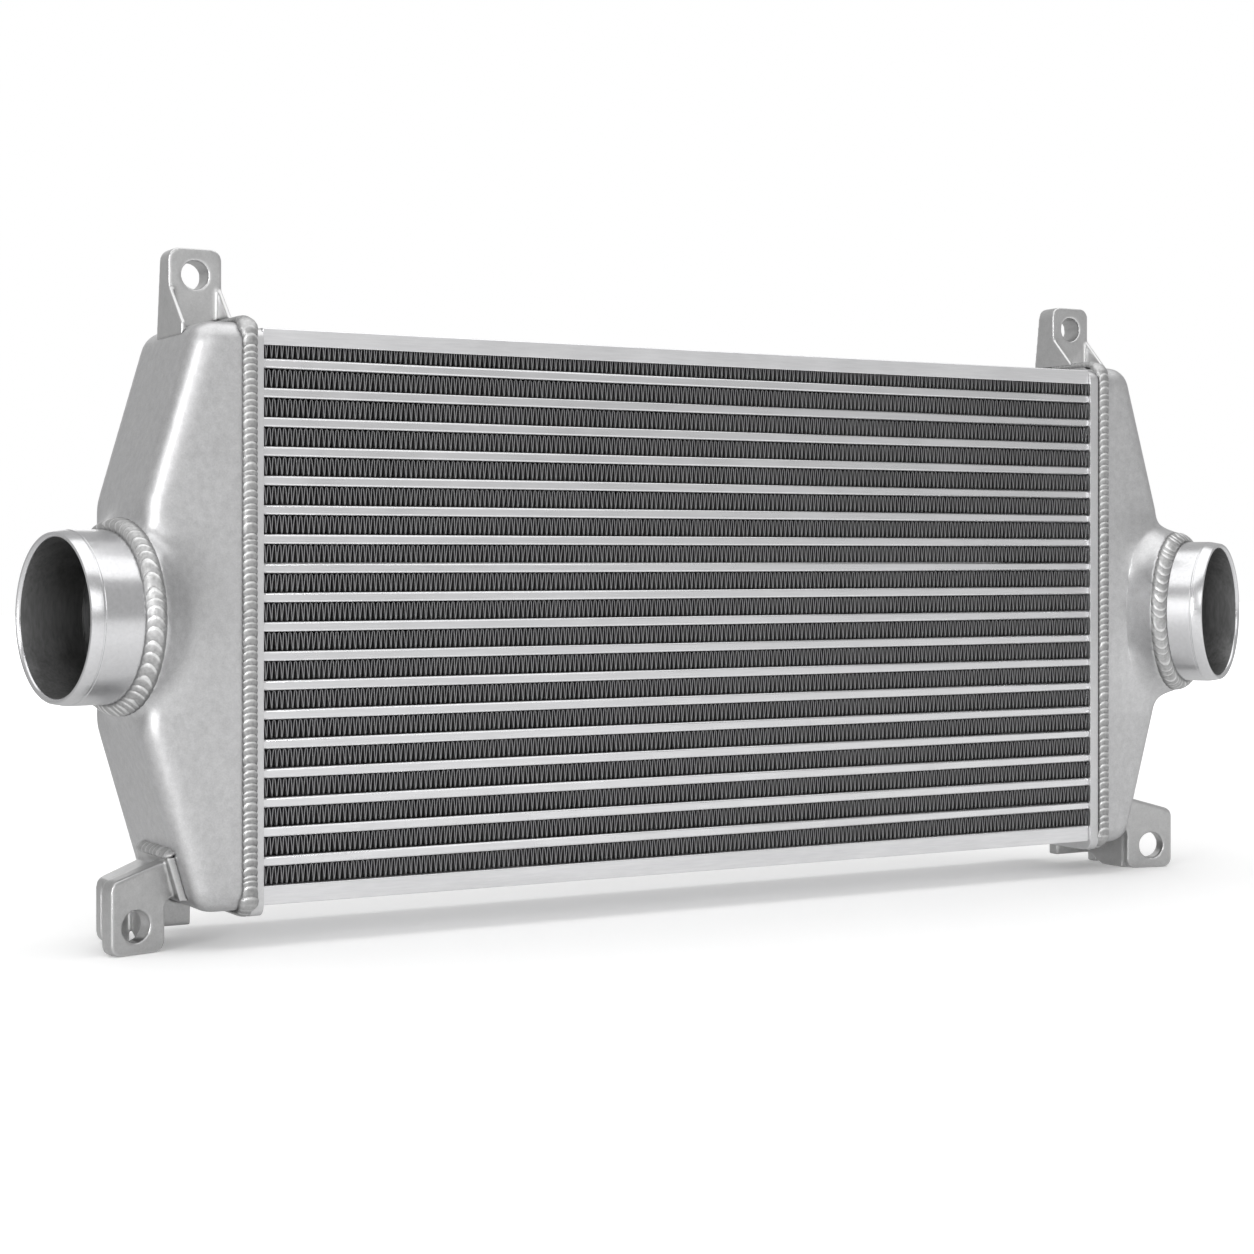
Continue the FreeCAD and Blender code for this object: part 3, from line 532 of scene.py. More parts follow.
def bead_tree(material):
    tree, given = new_tree("weld_bead", {
        "Width": 0.00325, "Rise": 0.003, "First Angle": -0.1, "Last Angle": 3.24, "Rows": 1000, "Columns": 14,
        "Pitch": 0.0034, "Relief": 0.2, "Bow": 0.002, "Jitter": 0.3, "Open": 0.0, "Contrast": 1.0, "Seed": 1,
    })
    times, plus, minus, over = sums(tree)
    smaller, larger = sums(tree, ("MINIMUM", "MAXIMUM"))

    # A flat grid of 1 m: X becomes the share of the path, and Y the way across the band, from -1 to 1.
    path = add_node(tree, "GeometryNodeMeshToCurve")
    tree.links.new(given["Geometry"], path.inputs["Mesh"])
    length = add_node(tree, "GeometryNodeCurveLength")
    tree.links.new(path.outputs["Curve"], length.inputs["Curve"])
    grid = add_node(tree, "GeometryNodeMeshGrid")
    for label in ("Size X", "Size Y"):
        grid.inputs[label].default_value = 1.0
    link(tree, given["Rows"], grid.inputs["Vertices X"])
    link(tree, given["Columns"], grid.inputs["Vertices Y"])
    place = place_in(tree)
    along = plus(place["X"], 0.5)
    across = times(place["Y"], 2.0)

    def on_path(label, kind):
        """The path's place there, and a value that its points carry."""
        sample = add_node(tree, "GeometryNodeSampleCurve", data_type=kind, mode="FACTOR")
        sample.use_all_curves = False
        attribute = add_node(tree, "GeometryNodeInputNamedAttribute", data_type=kind)
        attribute.inputs["Name"].default_value = label
        tree.links.new(path.outputs["Curve"], sample.inputs["Curves"])
        tree.links.new(attribute.outputs["Attribute"], sample.inputs["Value"])
        tree.links.new(along, sample.inputs["Factor"])
        return sample.outputs["Position"], sample.outputs["Value"]

    centre, side = on_path("side", "FLOAT_VECTOR")
    _, up = on_path("up", "FLOAT_VECTOR")
    _, last_puddle = on_path("puddle", "FLOAT")

    # A whole number of puddles, each bowed forward in its middle and a little out of step with the next.
    speckle = add_node(tree, "ShaderNodeTexNoise", noise_dimensions="4D")
    speckle.inputs["Detail"].default_value = 0.0
    tree.links.new(centre, speckle.inputs["Vector"])
    link(tree, times(given["Seed"], 3.7), speckle.inputs["W"])
    link(tree, over(0.6, given["Pitch"]), speckle.inputs["Scale"])
    wobble = times(minus(speckle.outputs["Fac"], 0.5), 2.0)
    arch = minus(1.0, times(across, across))
    whole = calculate(tree, "ROUND", over(length.outputs["Length"], given["Pitch"]))
    bowed = over(times(given["Bow"], arch), given["Pitch"])
    puddle = plus(minus(times(along, whole), bowed), times(wobble, given["Jitter"]))
    phase = calculate(tree, "FRACT", puddle)

    # The band's swell: less in the hollow behind a lip, more at a last puddle, and nothing at an open end.
    lip_and_painted_light = curve_of(tree, phase, LIP_SHAPE)
    relief = times(times(given["Relief"], plus(0.8, times(wobble, 0.5))), minus(1.0, last_puddle))
    swell = minus(1.0, times(relief, minus(1.0, lip_and_painted_light)))
    swell = times(swell, plus(1.0, times(last_puddle, LAST_PUDDLE_SWELL)))
    from_end = smaller(along, minus(1.0, along))
    fade = calculate(tree, "POWER", smaller(times(from_end, END_SLOPE), 1.0), 0.5)
    swell = times(swell, minus(1.0, times(given["Open"], minus(1.0, fade))))

    # The band's section is part of an ellipse that stands on the path's two directions.
    sweep = minus(given["Last Angle"], given["First Angle"])
    angle = plus(given["First Angle"], times(plus(place["Y"], 0.5), sweep))
    sideways = times(times(calculate(tree, "COSINE", angle), given["Width"]), swell)
    upwards = times(times(calculate(tree, "SINE", angle), given["Rise"]), swell)
    point = added(tree, added(tree, centre, side, sideways), up, upwards)

    # The painted highlight on the lips fades into painted shade at the toes, and a last puddle has an even
    # painted tone.
    painted_toe_shade = smaller(larger(times(minus(calculate(tree, "ABSOLUTE", across), TOE_PAINTED_SHADE_START), TOE_PAINTED_SHADE_SLOPE), 0.0), 1.0)
    painted_glint = times(minus(curve_of(tree, phase, PAINTED_GLINT_SHAPE), MEAN_PAINTED_GLINT), given["Contrast"])
    painted_shine = times(times(plus(painted_glint, MEAN_PAINTED_GLINT), minus(1.0, painted_toe_shade)), minus(1.0, last_puddle))
    # The stored value is painted light on the band's points.
    store = add_node(tree, "GeometryNodeStoreNamedAttribute", data_type="FLOAT", domain="POINT")
    store.inputs["Name"].default_value = "lip_and_painted_light"
    tree.links.new(grid.outputs["Mesh"], store.inputs["Geometry"])
    tree.links.new(plus(painted_shine, times(last_puddle, LAST_PUDDLE_PAINTED_GLINT)), store.inputs["Value"])
    return close_tree(tree, moved(tree, store.outputs["Geometry"], point), BAND_MERGE, material)


weld_tree = bead_tree(weld_metal_with_painted_light)
print("weld tree:", len(weld_tree.nodes), "nodes")

# %% [markdown]
# A path is a mesh of edges that carries its directions. The band that the tree wraps round it is open
# underneath or at its ends, so its two rims are joined and no bead is left hollow.

# %% Helpers for beads
RIM_GAP = 1e-5
BEAD_CREASE = 60


def path_mesh(name, points, sides, ups, closed, puddles):
    """A path as a mesh of edges, with the two directions of its band on every point.

    A puddle value is 1 where the welder stopped and left one larger, smoother puddle, and 0 elsewhere.
    """
    count = len(points)
    edges = [(i, i + 1) for i in range(count - 1)]
    if closed:
        edges.append((count - 1, 0))
    mesh = bpy.data.meshes.new(name)
    mesh.from_pydata([tuple(p) for p in points], edges, [])
    for label, values in (("side", sides), ("up", ups)):
        attribute = mesh.attributes.new(label, "FLOAT_VECTOR", "POINT")
        attribute.data.foreach_set("vector", np.asarray(values, dtype=np.float32).ravel())
    attribute = mesh.attributes.new("puddle", "FLOAT", "POINT")
    attribute.data.foreach_set("value", np.asarray(puddles or [0.0] * count, dtype=np.float32))
    return mesh


def closed_surface(piece):
    """Merge the seams of a piece, join a band's two rims underneath it and turn all faces outward."""
    form = bmesh.new()
    form.from_mesh(piece.data)
    bmesh.ops.remove_doubles(form, verts=form.verts, dist=RIM_GAP)
    rims = [edge for edge in form.edges if edge.is_boundary]
    if rims:
        bmesh.ops.bridge_loops(form, edges=rims)
    bmesh.ops.recalc_face_normals(form, faces=form.faces)
    print(piece.name, "open edges:", len(rims), "then", sum(not edge.is_manifold for edge in form.edges))
    form.to_mesh(piece.data)
    form.free()
    return piece


def lay_bead(node, finish, points, sides, ups, closed=True, puddles=None, **values):
    """Grow a bead along a path and hand it over in place of its model node."""
    name = f"{node}_ripples"
    bead = grown(name, weld_tree, path_mesh(name, points, sides, ups, closed, puddles), **values)
    shade(closed_surface(bead), BEAD_CREASE)
    hand_over(bead, "weld_bead", finish, node)
    print(node, len(bead.data.polygons), "faces")


print("rims closer than", RIM_GAP / MM, "mm are merged")

# %% [markdown]
# The bead at each end of the core runs round the whole rectangle where the tank's mouth meets the header.
# Its path starts at the bottom, climbs the front and comes back down the rear. The left bead was laid
# further over the header than the right one, and its crescents are closer together.

# %% Seam beads
SEAM_CORNER = 10 * MM
SEAM_RISE = 2.3 * MM
SEAM_UNDERCUT = 0.3
CORNER_STEPS = 8
PATH_STEP = 4 * MM
STOP_REACH = 3 * MM
SEAM_BEADS = {
    "left": {"middle": -242.5 * MM, "width": 3.5 * MM, "pitch": 3.05 * MM, "rows": 2400},
    "right": {"middle": 244.9 * MM, "width": 3.3 * MM, "pitch": 3.45 * MM, "rows": 2200},
}


def seam_path(node, middle_x):
    """Points, outward directions and puddle values round a tank's mouth, front side first."""
    low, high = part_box(node)
    half_y = (high.y - low.y) / 2 - SEAM_RISE
    low_z, high_z = low.z + SEAM_RISE, high.z - SEAM_RISE
    corners = [(-half_y, low_z, 270), (-half_y, high_z, 180), (half_y, high_z, 90), (half_y, low_z, 0)]
    points, ups = [], []
    for y, z, start in corners:
        inward = SEAM_CORNER if z == low_z else -SEAM_CORNER
        centre = Vector((middle_x, y - math.copysign(SEAM_CORNER, y), z + inward))
        for step in range(CORNER_STEPS + 1):
            turn = math.radians(start - step * 90 / CORNER_STEPS)
            direction = Vector((0, math.cos(turn), math.sin(turn)))
            point = centre + direction * SEAM_CORNER
            if step == 0 and points:
                last = points[-1]
                count = int((point - last).length / PATH_STEP)
                points += [last.lerp(point, i / count) for i in range(1, count)]
                ups += [direction] * (count - 1)
            points.append(point)
            ups.append(direction)
    stops = (1.5 * MM, high_z - 3 * MM)
    puddles = [
        max(math.exp(-((p.z - stop) / STOP_REACH) ** 2) if p.y < 0 else 0.0 for stop in stops) for p in points
    ]
    return points, ups, puddles


for seed, (side_name, laid) in enumerate(SEAM_BEADS.items()):
    node = f"seam_weld_{side_name}"
    points, ups, puddles = seam_path(node, laid["middle"])
    lay_bead(
        node, seam_metal_with_painted_light, points, [Vector((1, 0, 0))] * len(points), ups, puddles=puddles,
        Width=laid["width"], Rise=SEAM_RISE, First_Angle=-SEAM_UNDERCUT, Last_Angle=math.pi + SEAM_UNDERCUT,
        Rows=laid["rows"], Columns=24, Pitch=laid["pitch"], Relief=0.23, Bow=2.6 * MM, Jitter=0.5,
        Contrast=0.85, Seed=seed + 3,
    )

# %% [markdown]
# A hose stub's bead fills the corner between the boss's end and the tube, so its section is a quarter
# round: it starts flat on the boss and ends upright on the tube.

# %% Stub beads
STUBS = {
    "left": {"root": Vector((-0.2932, -0.0135, 0.127)), "turn": 189.5, "length": 31 * MM},
    "right": {"root": Vector((0.2975, -0.03985, 0.1235)), "turn": -60.0, "length": 25 * MM},
}
STUB_RADIUS = 38.1 * MM
STUB_BORE = 34.5 * MM


def ring_directions(turn, count):
    """The stub's axis, and the outward directions round it."""
    axis = Vector((math.cos(math.radians(turn)), math.sin(math.radians(turn)), 0))
    sideways = Vector((-axis.y, axis.x, 0))
    upright = Vector((0, 0, 1))
    angles = [2 * math.pi * i / count for i in range(count)]
    return axis, [sideways * math.cos(angle) + upright * math.sin(angle) for angle in angles]


for seed, (side_name, stub) in enumerate(STUBS.items()):
    axis, outward = ring_directions(stub["turn"], 128)
    points = [stub["root"] + direction * STUB_RADIUS for direction in outward]
    lay_bead(
        f"stub_weld_{side_name}", weld_metal_with_painted_light, points, outward, [axis] * len(outward),
        Width=5.4 * MM, Rise=6.6 * MM, First_Angle=-0.1, Last_Angle=math.pi / 2 + 0.1, Rows=1000, Columns=27,
        Pitch=4.6 * MM, Relief=0.07, Bow=4.6 * MM, Jitter=0.9, Contrast=0.6, Seed=seed + 11,
    )

# %% [markdown]
# The weld along the top of each lower bracket's contact pad is a short round bead that leans 30 degrees
# from upright. It fades out at both ends, and its front end reaches a little past the pad's corner.

# %% Bracket beads
LEAN, STAND = 0.5, 0.866
FRONT_REACH = 1.2 * MM
BRACKET_STEPS = 24

for seed, (side_name, sense) in enumerate((("left", -1), ("right", 1))):
    node = f"bracket_weld_{side_name}"
    low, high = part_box(node)
    centre = (low + high) / 2
    front = low.y - FRONT_REACH
    steps = range(BRACKET_STEPS + 1)
    points = [Vector((centre.x, front + (high.y - front) * step / BRACKET_STEPS, centre.z)) for step in steps]
    lay_bead(
        node, weld_metal_with_painted_light, points, [Vector((sense * STAND, 0, -LEAN))] * len(points),
        [Vector((sense * LEAN, 0, STAND))] * len(points), closed=False,
        Width=3.6 * MM, Rise=2.0 * MM, First_Angle=-math.pi / 2, Last_Angle=1.5 * math.pi, Rows=180,
        Columns=25, Pitch=6.5 * MM, Relief=0.12, Bow=3.0 * MM, Jitter=1.2, Open=1.0, Contrast=0.3,
        Seed=seed + 21,
    )

# %% [markdown]
# ## Hose stubs
# The stubs are turned on a lathe, so each is a profile swept round its axis. Small radii at the nose, a
# fine groove behind it and a broken edge at the bore give the thin bright lines that a plain tube lacks.
# The bore isn't polished, so its faces get a duller finish, and a darker grey that is painted shade.

# %% Turned stubs
TURNED_STEPS = 192
NOSE_LENGTH = 5.5 * MM
NOSE_DROP = 1.1 * MM
GROOVE_DEPTH = 0.3 * MM


def lathed(name, root, axis, outward, profile):
    """Sweep a closed profile of (along, radius) points round an axis."""
    points = [root + axis * along + direction * radius for direction in outward for along, radius in profile]
    rows, count = len(profile), len(outward)
    faces = []
    for i in range(count):
        here, after = i * rows, (i + 1) % count * rows
        faces += [(here + j, here + (j + 1) % rows, after + (j + 1) % rows, after + j) for j in range(rows)]
    mesh = bpy.data.meshes.new(name)
    mesh.from_pydata([tuple(p) for p in points], [], faces)
    return closed_surface(new_object(name, mesh))


def stub_profile(length):
    """The stub's section: out along the bore, round the rim, back over the nose and the groove."""
    nose = length - NOSE_LENGTH
    rim = STUB_RADIUS - NOSE_DROP
    return [
        (0, STUB_BORE), (length - 1.5 * MM, STUB_BORE), (length - 0.9 * MM, STUB_BORE + 0.2 * MM),
        (length - 0.3 * MM, STUB_BORE + 0.7 * MM), (length, STUB_BORE + 1.2 * MM), (length, rim - 0.5 * MM),
        (length - 0.15 * MM, rim - 0.13 * MM), (length - 0.5 * MM, rim + 0.1 * MM),
        (nose + 0.2 * MM, STUB_RADIUS - 0.1 * MM), (nose, STUB_RADIUS - GROOVE_DEPTH),
        (nose - 0.7 * MM, STUB_RADIUS - GROOVE_DEPTH), (nose - 0.8 * MM, STUB_RADIUS - 0.1 * MM),
        (nose - 1.0 * MM, STUB_RADIUS), (0, STUB_RADIUS),
    ]


for side_name, stub in STUBS.items():
    axis, outward = ring_directions(stub["turn"], TURNED_STEPS)
    tube = lathed(f"turned_stub_{side_name}", stub["root"], axis, outward, stub_profile(stub["length"]))
    shade(tube, 25)
    hand_over(tube, "hose_stub", turned_metal, f"hose_stub_{side_name}")
    # The bore's faces get its dark grey as painted shade.
    tube.data.materials.append(bore_metal_with_painted_shade)
    for face in tube.data.polygons:
        along = (face.center - stub["root"]).dot(axis)
        reach = (face.center - stub["root"] - axis * along).length
        if reach < STUB_BORE + 0.05 * MM and along < stub["length"] - 1.0 * MM:
            face.material_index = 1
    print(tube.name, len(tube.data.polygons), "faces")

# %% [markdown]
# ## Cast skins
# The model's boss meets the tank in a sharp line, and the edges of lugs and brackets are sharp too.
# Rounding by hand would follow lines that change at every point, so the form is turned into an even skin of
# small faces (a voxel remesh). Then the skin's points are moved toward the mean of their neighbours. Flat
# faces stay flat under that, and edges and corners get round.

# %% Helpers for a cast skin
SOFT_PAIR = (0.5, -0.52)
FORM_STEPS = 12
NORMAL_STEPS = 5


def even_skin(piece, size):
    remesh = piece.modifiers.new("skin", "REMESH")
    remesh.mode = "VOXEL"
    remesh.voxel_size = size
    return applied(piece)


def read_skin(mesh):
    """A skin's points, and a function that gives the way from each point to the mean of its neighbours."""
    points = np.empty(len(mesh.vertices) * 3)
    mesh.vertices.foreach_get("co", points)
    points = points.reshape(-1, 3)
    edges = np.empty(len(mesh.edges) * 2, dtype=np.int64)
    mesh.edges.foreach_get("vertices", edges)
    edges = edges.reshape(-1, 2)
    count = np.maximum(np.bincount(edges.ravel(), minlength=len(points)), 1)

    def to_mean(places):
        total = np.zeros_like(places)
        np.add.at(total, edges[:, 0], places[edges[:, 1]])
        np.add.at(total, edges[:, 1], places[edges[:, 0]])
        return total / count[:, None] - places

    return points, to_mean


def write_skin(mesh, points):
    """Move a skin's points, and give its normals there."""
    mesh.vertices.foreach_set("co", points.ravel())
    mesh.update()
    normals = np.empty(len(points) * 3)
    mesh.vertices.foreach_get("normal", normals)
    return normals.reshape(-1, 3)


def outward_part(offsets, normals):
    """How far each offset goes along its normal."""
    return np.einsum("ij,ij->i", offsets, normals)


print("helpers for cast skins are ready")

# %% [markdown]
# ## Cast end tanks
# A casting's hollow corners are filled by wide fillets. Wherever the neighbours of a point stand outside
# it, the corner is hollow, and the point moves out until the hollow is filled. The points at the mouth and
# at the stub stay where they are, and the inner wall isn't filled: it gets the bore's dull finish with its
# darker grey, which is painted shade.

# %% Tanks
TANK_VOXEL = 1.5 * MM
TANK_MOUTH = 241.5 * MM
FILL_STEPS = {"left": 90, "right": 260}
SOFT_STEPS = 8
HELD_AT_MOUTH = 2 * MM
HELD_AT_STUB = 1.5 * MM
STUB_REACH = 50 * MM
CUT_GAP = 0.05 * MM


def fill_and_soften(piece, loose, free, fill_steps):
    """Smooth without shrinking on the loose points, then fill and smooth hollow corners on the free ones."""
    points, to_mean = read_skin(piece.data)
    for step in range(FORM_STEPS):
        for factor in SOFT_PAIR:
            points += loose[:, None] * factor * to_mean(points)
    weight = free[:, None]
    for step in range(fill_steps):
        if step % NORMAL_STEPS == 0:
            normals = write_skin(piece.data, points)
        points += weight * np.maximum(outward_part(to_mean(points), normals), 0)[:, None] * normals
    for step in range(SOFT_STEPS):
        for factor in SOFT_PAIR:
            points += weight * factor * to_mean(points)
    write_skin(piece.data, points)


def skins(node, cut_planes):
    """The outer skin of a model node and its inner ones: the parts left once its open ends are cut away."""
    form = joined_form(node)
    gone = [
        face for face in form.faces
        if any(abs((face.calc_center_median() - place).dot(normal)) < CUT_GAP for place, normal in cut_planes)
    ]
    bmesh.ops.delete(form, geom=gone, context="FACES")
    left = set(form.faces)
    groups = []
    while left:
        group, waiting = set(), [left.pop()]
        while waiting:
            face = waiting.pop()
            group.add(face)
            beside = {other for line in face.edges for other in line.link_faces} & left
            left -= beside
            waiting += beside
        groups.append(group)
    groups.sort(key=lambda group: sum(face.calc_area() for face in group), reverse=True)
    places = [v.co.copy() for v in form.verts]
    outer = BVHTree.FromPolygons(places, [[v.index for v in f.verts] for f in groups[0]])
    inner = BVHTree.FromPolygons(places, [[v.index for v in f.verts] for g in groups[1:] for f in g])
    form.free()
    return outer, inner


for side_name, sense in (("left", -1), ("right", 1)):
    node = f"end_tank_{side_name}"
    stub = STUBS[side_name]
    axis, _ = ring_directions(stub["turn"], TURNED_STEPS)
    mouth = Vector((sense * TANK_MOUTH, 0, 0))
    outer, inner = skins(node, [(mouth, Vector((1, 0, 0))), (stub["root"], axis)])
    tank = even_skin(merged_copy(f"{node}_casting", node, whole_faces=False), TANK_VOXEL)
    loose = np.ones(len(tank.data.vertices))
    free = np.ones(len(tank.data.vertices))
    inside = set()
    for index, vertex in enumerate(tank.data.vertices):
        place = vertex.co
        from_root = place - stub["root"]
        at_stub = from_root.dot(axis) > -HELD_AT_STUB and from_root.length < STUB_REACH
        if abs(place.x - mouth.x) < HELD_AT_MOUTH or at_stub:
            loose[index] = free[index] = 0.0
        if inner.find_nearest(place)[3] < outer.find_nearest(place)[3]:
            free[index] = 0.0
            inside.add(index)
    fill_and_soften(tank, loose, free, FILL_STEPS[side_name])
    shade(tank, 180)
    hand_over(tank, "cast_tank", cast_metal, node)
    # The inner wall gets the bore's dark grey as painted shade.
    tank.data.materials.append(bore_metal_with_painted_shade)
    for face in tank.data.polygons:
        if inside.issuperset(face.vertices):
            face.material_index = 1
    print(node, int(free.sum()), "free points of", len(free), "-", len(tank.data.polygons), "faces")

# %% [markdown]
# ## Lugs and brackets
# A few steps of plain smoothing round every edge of a finer skin, except where the piece lies on its tank.
# An edge is the place where the points have moved inward, so how far they moved sets how much painted
# highlight the metal gets there.

# %% Lugs and brackets
EDGE_VOXEL = 0.6 * MM
EDGE_STEPS = 7
# The depth at which an edge gets the full painted highlight.
PAINTED_HIGHLIGHT_DEPTH = 0.25 * MM


def softened_edges(piece, neighbour):
    """Round an even skin's edges, except where it lies on its neighbour, and give how far they moved in."""
    start, to_mean = read_skin(piece.data)
    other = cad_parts[neighbour].data
    places = [v.co.copy() for v in other.vertices]
    surface = BVHTree.FromPolygons(places, [tuple(f.vertices) for f in other.polygons])
    gaps = np.array([surface.find_nearest(Vector(p))[3] / MM for p in start])
    loose = np.clip(gaps - 0.5, 0.0, 1.0)
    points = start.copy()
    for step in range(EDGE_STEPS):
        points += loose[:, None] * 0.5 * to_mean(points)
    return outward_part(start - points, write_skin(piece.data, points))


for slot, finish in (("upper_lug", lug_metal), ("lower_bracket", bracket_metal)):
    for side_name in ("left", "right"):
        node = f"{slot}_{side_name}"
        piece = even_skin(merged_copy(f"{node}_edges", node, whole_faces=False), EDGE_VOXEL)
        painted_edge_highlight = softened_edges(piece, f"end_tank_{side_name}")
        shade(piece, 180)
        hand_over(piece, slot, finish, node)
        # The edge value is a painted highlight, which the finish turns into a lighter grey.
        tone = piece.data.attributes.new("painted_edge_highlight", "FLOAT", "POINT")
        tone.data.foreach_set("value", np.clip(painted_edge_highlight / PAINTED_HIGHLIGHT_DEPTH, 0, 1).astype(np.float32))
        depth = round(painted_edge_highlight.max() / MM, 2)
        print(piece.name, len(piece.data.polygons), "faces, moved in by", depth, "mm at most")

# %% [markdown]
# ## Headers and plates
# These milled and drawn pieces keep the model's form. Each gets a small bevel, because no real edge is
# perfectly sharp and the lamps draw a thin bright line along a broken edge. A header's lower corner on the
# core's side is clearly rounder in the photograph.

# %% Headers and plates
BEVEL_ANGLE = math.radians(35)
HEEL_WIDTH = 4.0 * MM
HEADER_EDGE = 0.8 * MM
PLATE_EDGE = 0.4 * MM
PLAIN_PIECES = {
    "header_frame_left": ("header_frame", header_metal, HEADER_EDGE),
    "header_frame_right": ("header_frame", header_metal, HEADER_EDGE),
    "side_plate_bottom": ("core_plate", plate_metal, PLATE_EDGE),
    "side_plate_top": ("core_plate", plate_metal, PLATE_EDGE),
}


def keep_flats(piece):
    """Work in a piece's modifiers, with smooth shading in which the large flat faces stay flat."""
    piece.data.shade_smooth()
    weighted = piece.modifiers.new("flats", "WEIGHTED_NORMAL")
    weighted.weight = 100
    return applied(piece)


def rounded(piece, width):
    """Round the sharp edges of a piece."""
    bevel = piece.modifiers.new("edges", "BEVEL")
    bevel.width = width
    bevel.segments = 3
    bevel.limit_method = "ANGLE"
    bevel.angle_limit = BEVEL_ANGLE
    bevel.use_clamp_overlap = True
    return keep_flats(piece)


def edges_at(form, level, axis, reach):
    """The edges at one height whose ends are at one distance from zero along an axis."""
    return [
        edge for edge in form.edges
        if all(abs(v.co.z - level) < SAME_POINT for v in edge.verts)
        and all(abs(abs(getattr(v.co, axis)) - reach) < SAME_POINT for v in edge.verts)
    ]


def round_edges(form, lines, width, segments):
    bmesh.ops.bevel(form, geom=lines, offset=width, segments=segments, profile=0.5, affect="EDGES")


def round_heel(piece):
    """Round a header's lower edge on the core's side, front and rear."""
    form = bmesh.new()
    form.from_mesh(piece.data)
    bottom = min(v.co.z for v in form.verts)
    inner = min(abs(v.co.x) for v in form.verts)
    round_edges(form, edges_at(form, bottom, "x", inner), HEEL_WIDTH, 6)
    form.to_mesh(piece.data)
    form.free()


for node, (slot, finish, width) in PLAIN_PIECES.items():
    piece = merged_copy(f"{node}_edges", node)
    if slot == "header_frame":
        round_heel(piece)
    piece = rounded(piece, width)
    hand_over(piece, slot, finish, node)
    print(piece.name, len(piece.data.polygons), "faces")

# %% [markdown]
# ## Bars
# Only a bar's long outer edges show. The light comes from above and draws a bright line along the upper
# ones, so these are rounded more than the lower ones.

# %% Bars
UPPER_EDGE = 1.8 * MM
LOWER_EDGE = 0.5 * MM
SHORTEST_LINE = 10 * MM


def bar_edges(piece):
    """Round a bar's long outer edges, front and rear."""
    form = bmesh.new()
    form.from_mesh(piece.data)
    reach = max(abs(v.co.y) for v in form.verts)
    levels = max(v.co.z for v in form.verts), min(v.co.z for v in form.verts)
    for level, width in zip(levels, (UPPER_EDGE, LOWER_EDGE)):
        lines = [
            edge for edge in edges_at(form, level, "y", reach)
            if abs(edge.verts[0].co.x - edge.verts[1].co.x) > SHORTEST_LINE
        ]
        round_edges(form, lines, width, 5)
    bmesh.ops.recalc_face_normals(form, faces=form.faces)
    form.to_mesh(piece.data)
    form.free()
    return keep_flats(piece)


tube_nodes = sorted(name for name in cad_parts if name.startswith("charge_tube_"))
for node in tube_nodes:
    bar = bar_edges(merged_copy(f"{node}_edges", node))
    hand_over(bar, "core_bar", bar_metal, node)
print(len(tube_nodes), "bars,", len(bar.data.polygons), "faces in the last one")

# %% [markdown]
# ## What stays as it is
# The end bars and the turbulators are hidden inside, so they keep the model's form and only get a finish.

# %% Finishes on the kept nodes
KEPT_NODES = {
    "end_bars_left": bar_metal, "end_bars_right": bar_metal, "charge_turbulators": fin_metal_with_painted_shade,
}
for node, finish in KEPT_NODES.items():
    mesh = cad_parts[node].data
    for index in range(len(mesh.materials)):
        mesh.materials[index] = finish
print("kept nodes:", ", ".join(KEPT_NODES))

# %% [markdown]
# ## Lamps
# A big soft lamp above and a broad one in front give the even light of a catalogue picture. One at the left
# lights the left tank's side, a narrow one beside it draws the bright line down the tank's ridge, and one
# behind lights the right stub and the backs of the lugs. Their powers were fitted to the tones of the
# photograph.

# %% Lamps
AIM = (0.0, 0.0, 0.12)
RIDGE_AIM = (-0.25, 0.0, 0.13)


def soft_lamp(name, place, aim, size, power, spread_angle=180):
    data = bpy.data.lights.new(name, "AREA")
    data.spread = math.radians(spread_angle)
    data.shape = "RECTANGLE"
    data.size, data.size_y = size
    data.energy = power
    lamp = bpy.data.objects.new(name, data)
    lamp.location = place
    lamp.rotation_euler = (Vector(aim) - Vector(place)).to_track_quat("-Z", "Y").to_euler()
    bpy.context.scene.collection.objects.link(lamp)


soft_lamp("top_lamp", (0.0, -0.1, 1.5), AIM, (2.5, 1.6), 13.5)
soft_lamp("ridge_lamp", (-1.75, -1.15, 0.45), RIDGE_AIM, (0.45, 1.1), 1.1, spread_angle=45)
soft_lamp("left_lamp", (-2.3, -0.9, 0.6), AIM, (1.8, 1.2), 5)
soft_lamp("front_lamp", (-0.6, -2.6, 1.2), AIM, (2.0, 1.2), 10)
soft_lamp("rear_lamp", (0.7, 2.3, 0.7), AIM, (2.0, 0.9), 4.6)

# %% [markdown]
# ## White background
# The camera sees a white world, but the metal is lit by a dimmer one, so that it keeps its contrast. The
# same goes for the floor: a glow that only camera rays see lifts it toward white, more with the distance
# from the cooler, and the shadow under the cooler remains. Mirrored rays see a glow on the floor in front
# of the cooler alone.

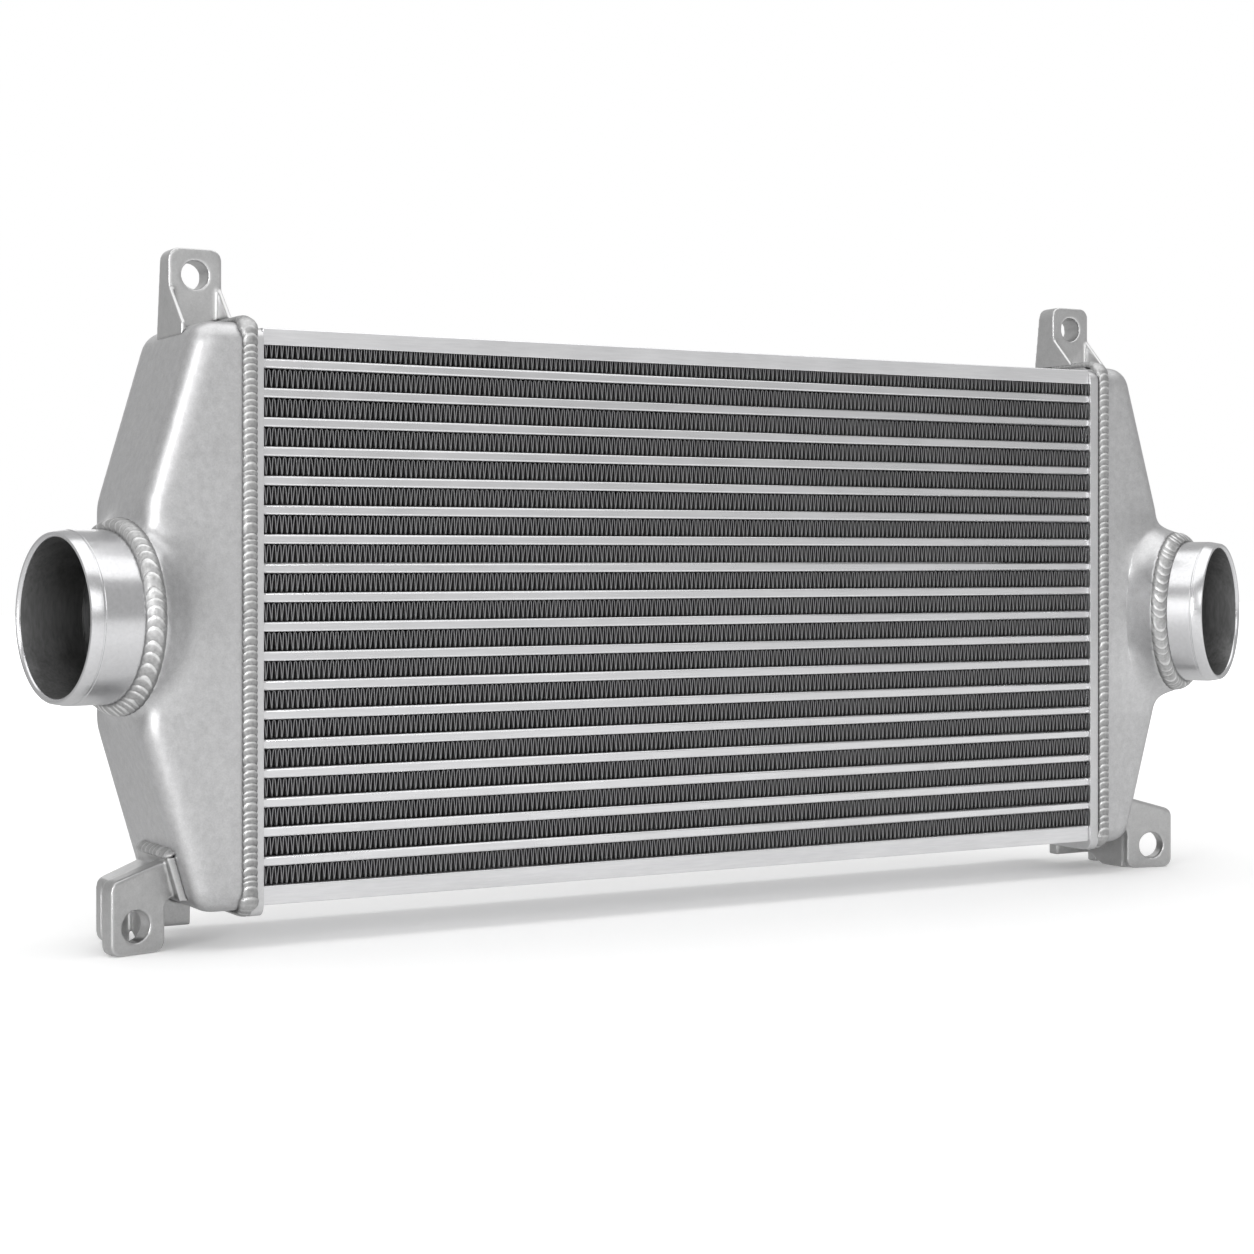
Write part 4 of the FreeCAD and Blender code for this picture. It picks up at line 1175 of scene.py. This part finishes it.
# %% World and floor
WORLD_LIGHT = 0.55
FLOOR_GREY = 0.6
FLOOR_GREY_SEEN = 0.95
FLOOR_LIFT = 0.17
LIFT_FROM, LIFT_TO = 0.45, 2.4
MIRRORED_GLOW = 0.5
GLOW_FROM, GLOW_TO = -0.3, 0.2

world = bpy.data.worlds.new("studio")
bpy.context.scene.world = world
world.use_nodes = True
tree = world.node_tree
backdrop = tree.nodes["Background"]
backdrop.inputs["Color"].default_value = (1, 1, 1, 1)
world_rays = add_node(tree, "ShaderNodeLightPath")
brightness = spread(tree, world_rays.outputs["Is Camera Ray"], WORLD_LIGHT, 1.0, 0.0, 1.0)
tree.links.new(brightness, backdrop.inputs["Strength"])

floor_level = cad_low.z
bpy.ops.mesh.primitive_plane_add(size=12, location=(0, 0, floor_level))
floor = bpy.context.object
floor.name = "floor"
paper, tree, matte = start_finish("pale_floor", metallic=0.0)
times, plus, _, _ = sums(tree)
rays = add_node(tree, "ShaderNodeLightPath").outputs
matte.inputs["Roughness"].default_value = 0.7
matte.inputs["Emission Color"].default_value = (1, 1, 1, 1)
grey = mix_greys(tree, rays["Is Camera Ray"], FLOOR_GREY, FLOOR_GREY_SEEN)
tree.links.new(grey, matte.inputs["Base Color"])
distance = add_node(tree, "ShaderNodeVectorMath", operation="LENGTH")
tree.links.new(object_space(tree), distance.inputs[0])
place = add_node(tree, "ShaderNodeSeparateXYZ")
tree.links.new(object_space(tree), place.inputs[0])
lift = spread(tree, distance.outputs["Value"], FLOOR_LIFT, 1.0, LIFT_FROM, LIFT_TO)
glow = spread(tree, place.outputs["Y"], MIRRORED_GLOW, 0.0, GLOW_FROM, GLOW_TO)
strength = plus(times(rays["Is Camera Ray"], lift), times(rays["Is Glossy Ray"], glow))
tree.links.new(strength, matte.inputs["Emission Strength"])
floor.data.materials.append(paper)
floor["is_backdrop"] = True
print("floor at", round(floor_level / MM, 2), "mm")

# %% [markdown]
# ## The dressed size
# The dressed cooler has to stay as large as the model, so its box is printed.

# %% Sizes and the end
low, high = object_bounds()
print("dressed box in mm:", [round(v / MM, 1) for v in (*low, *high)])
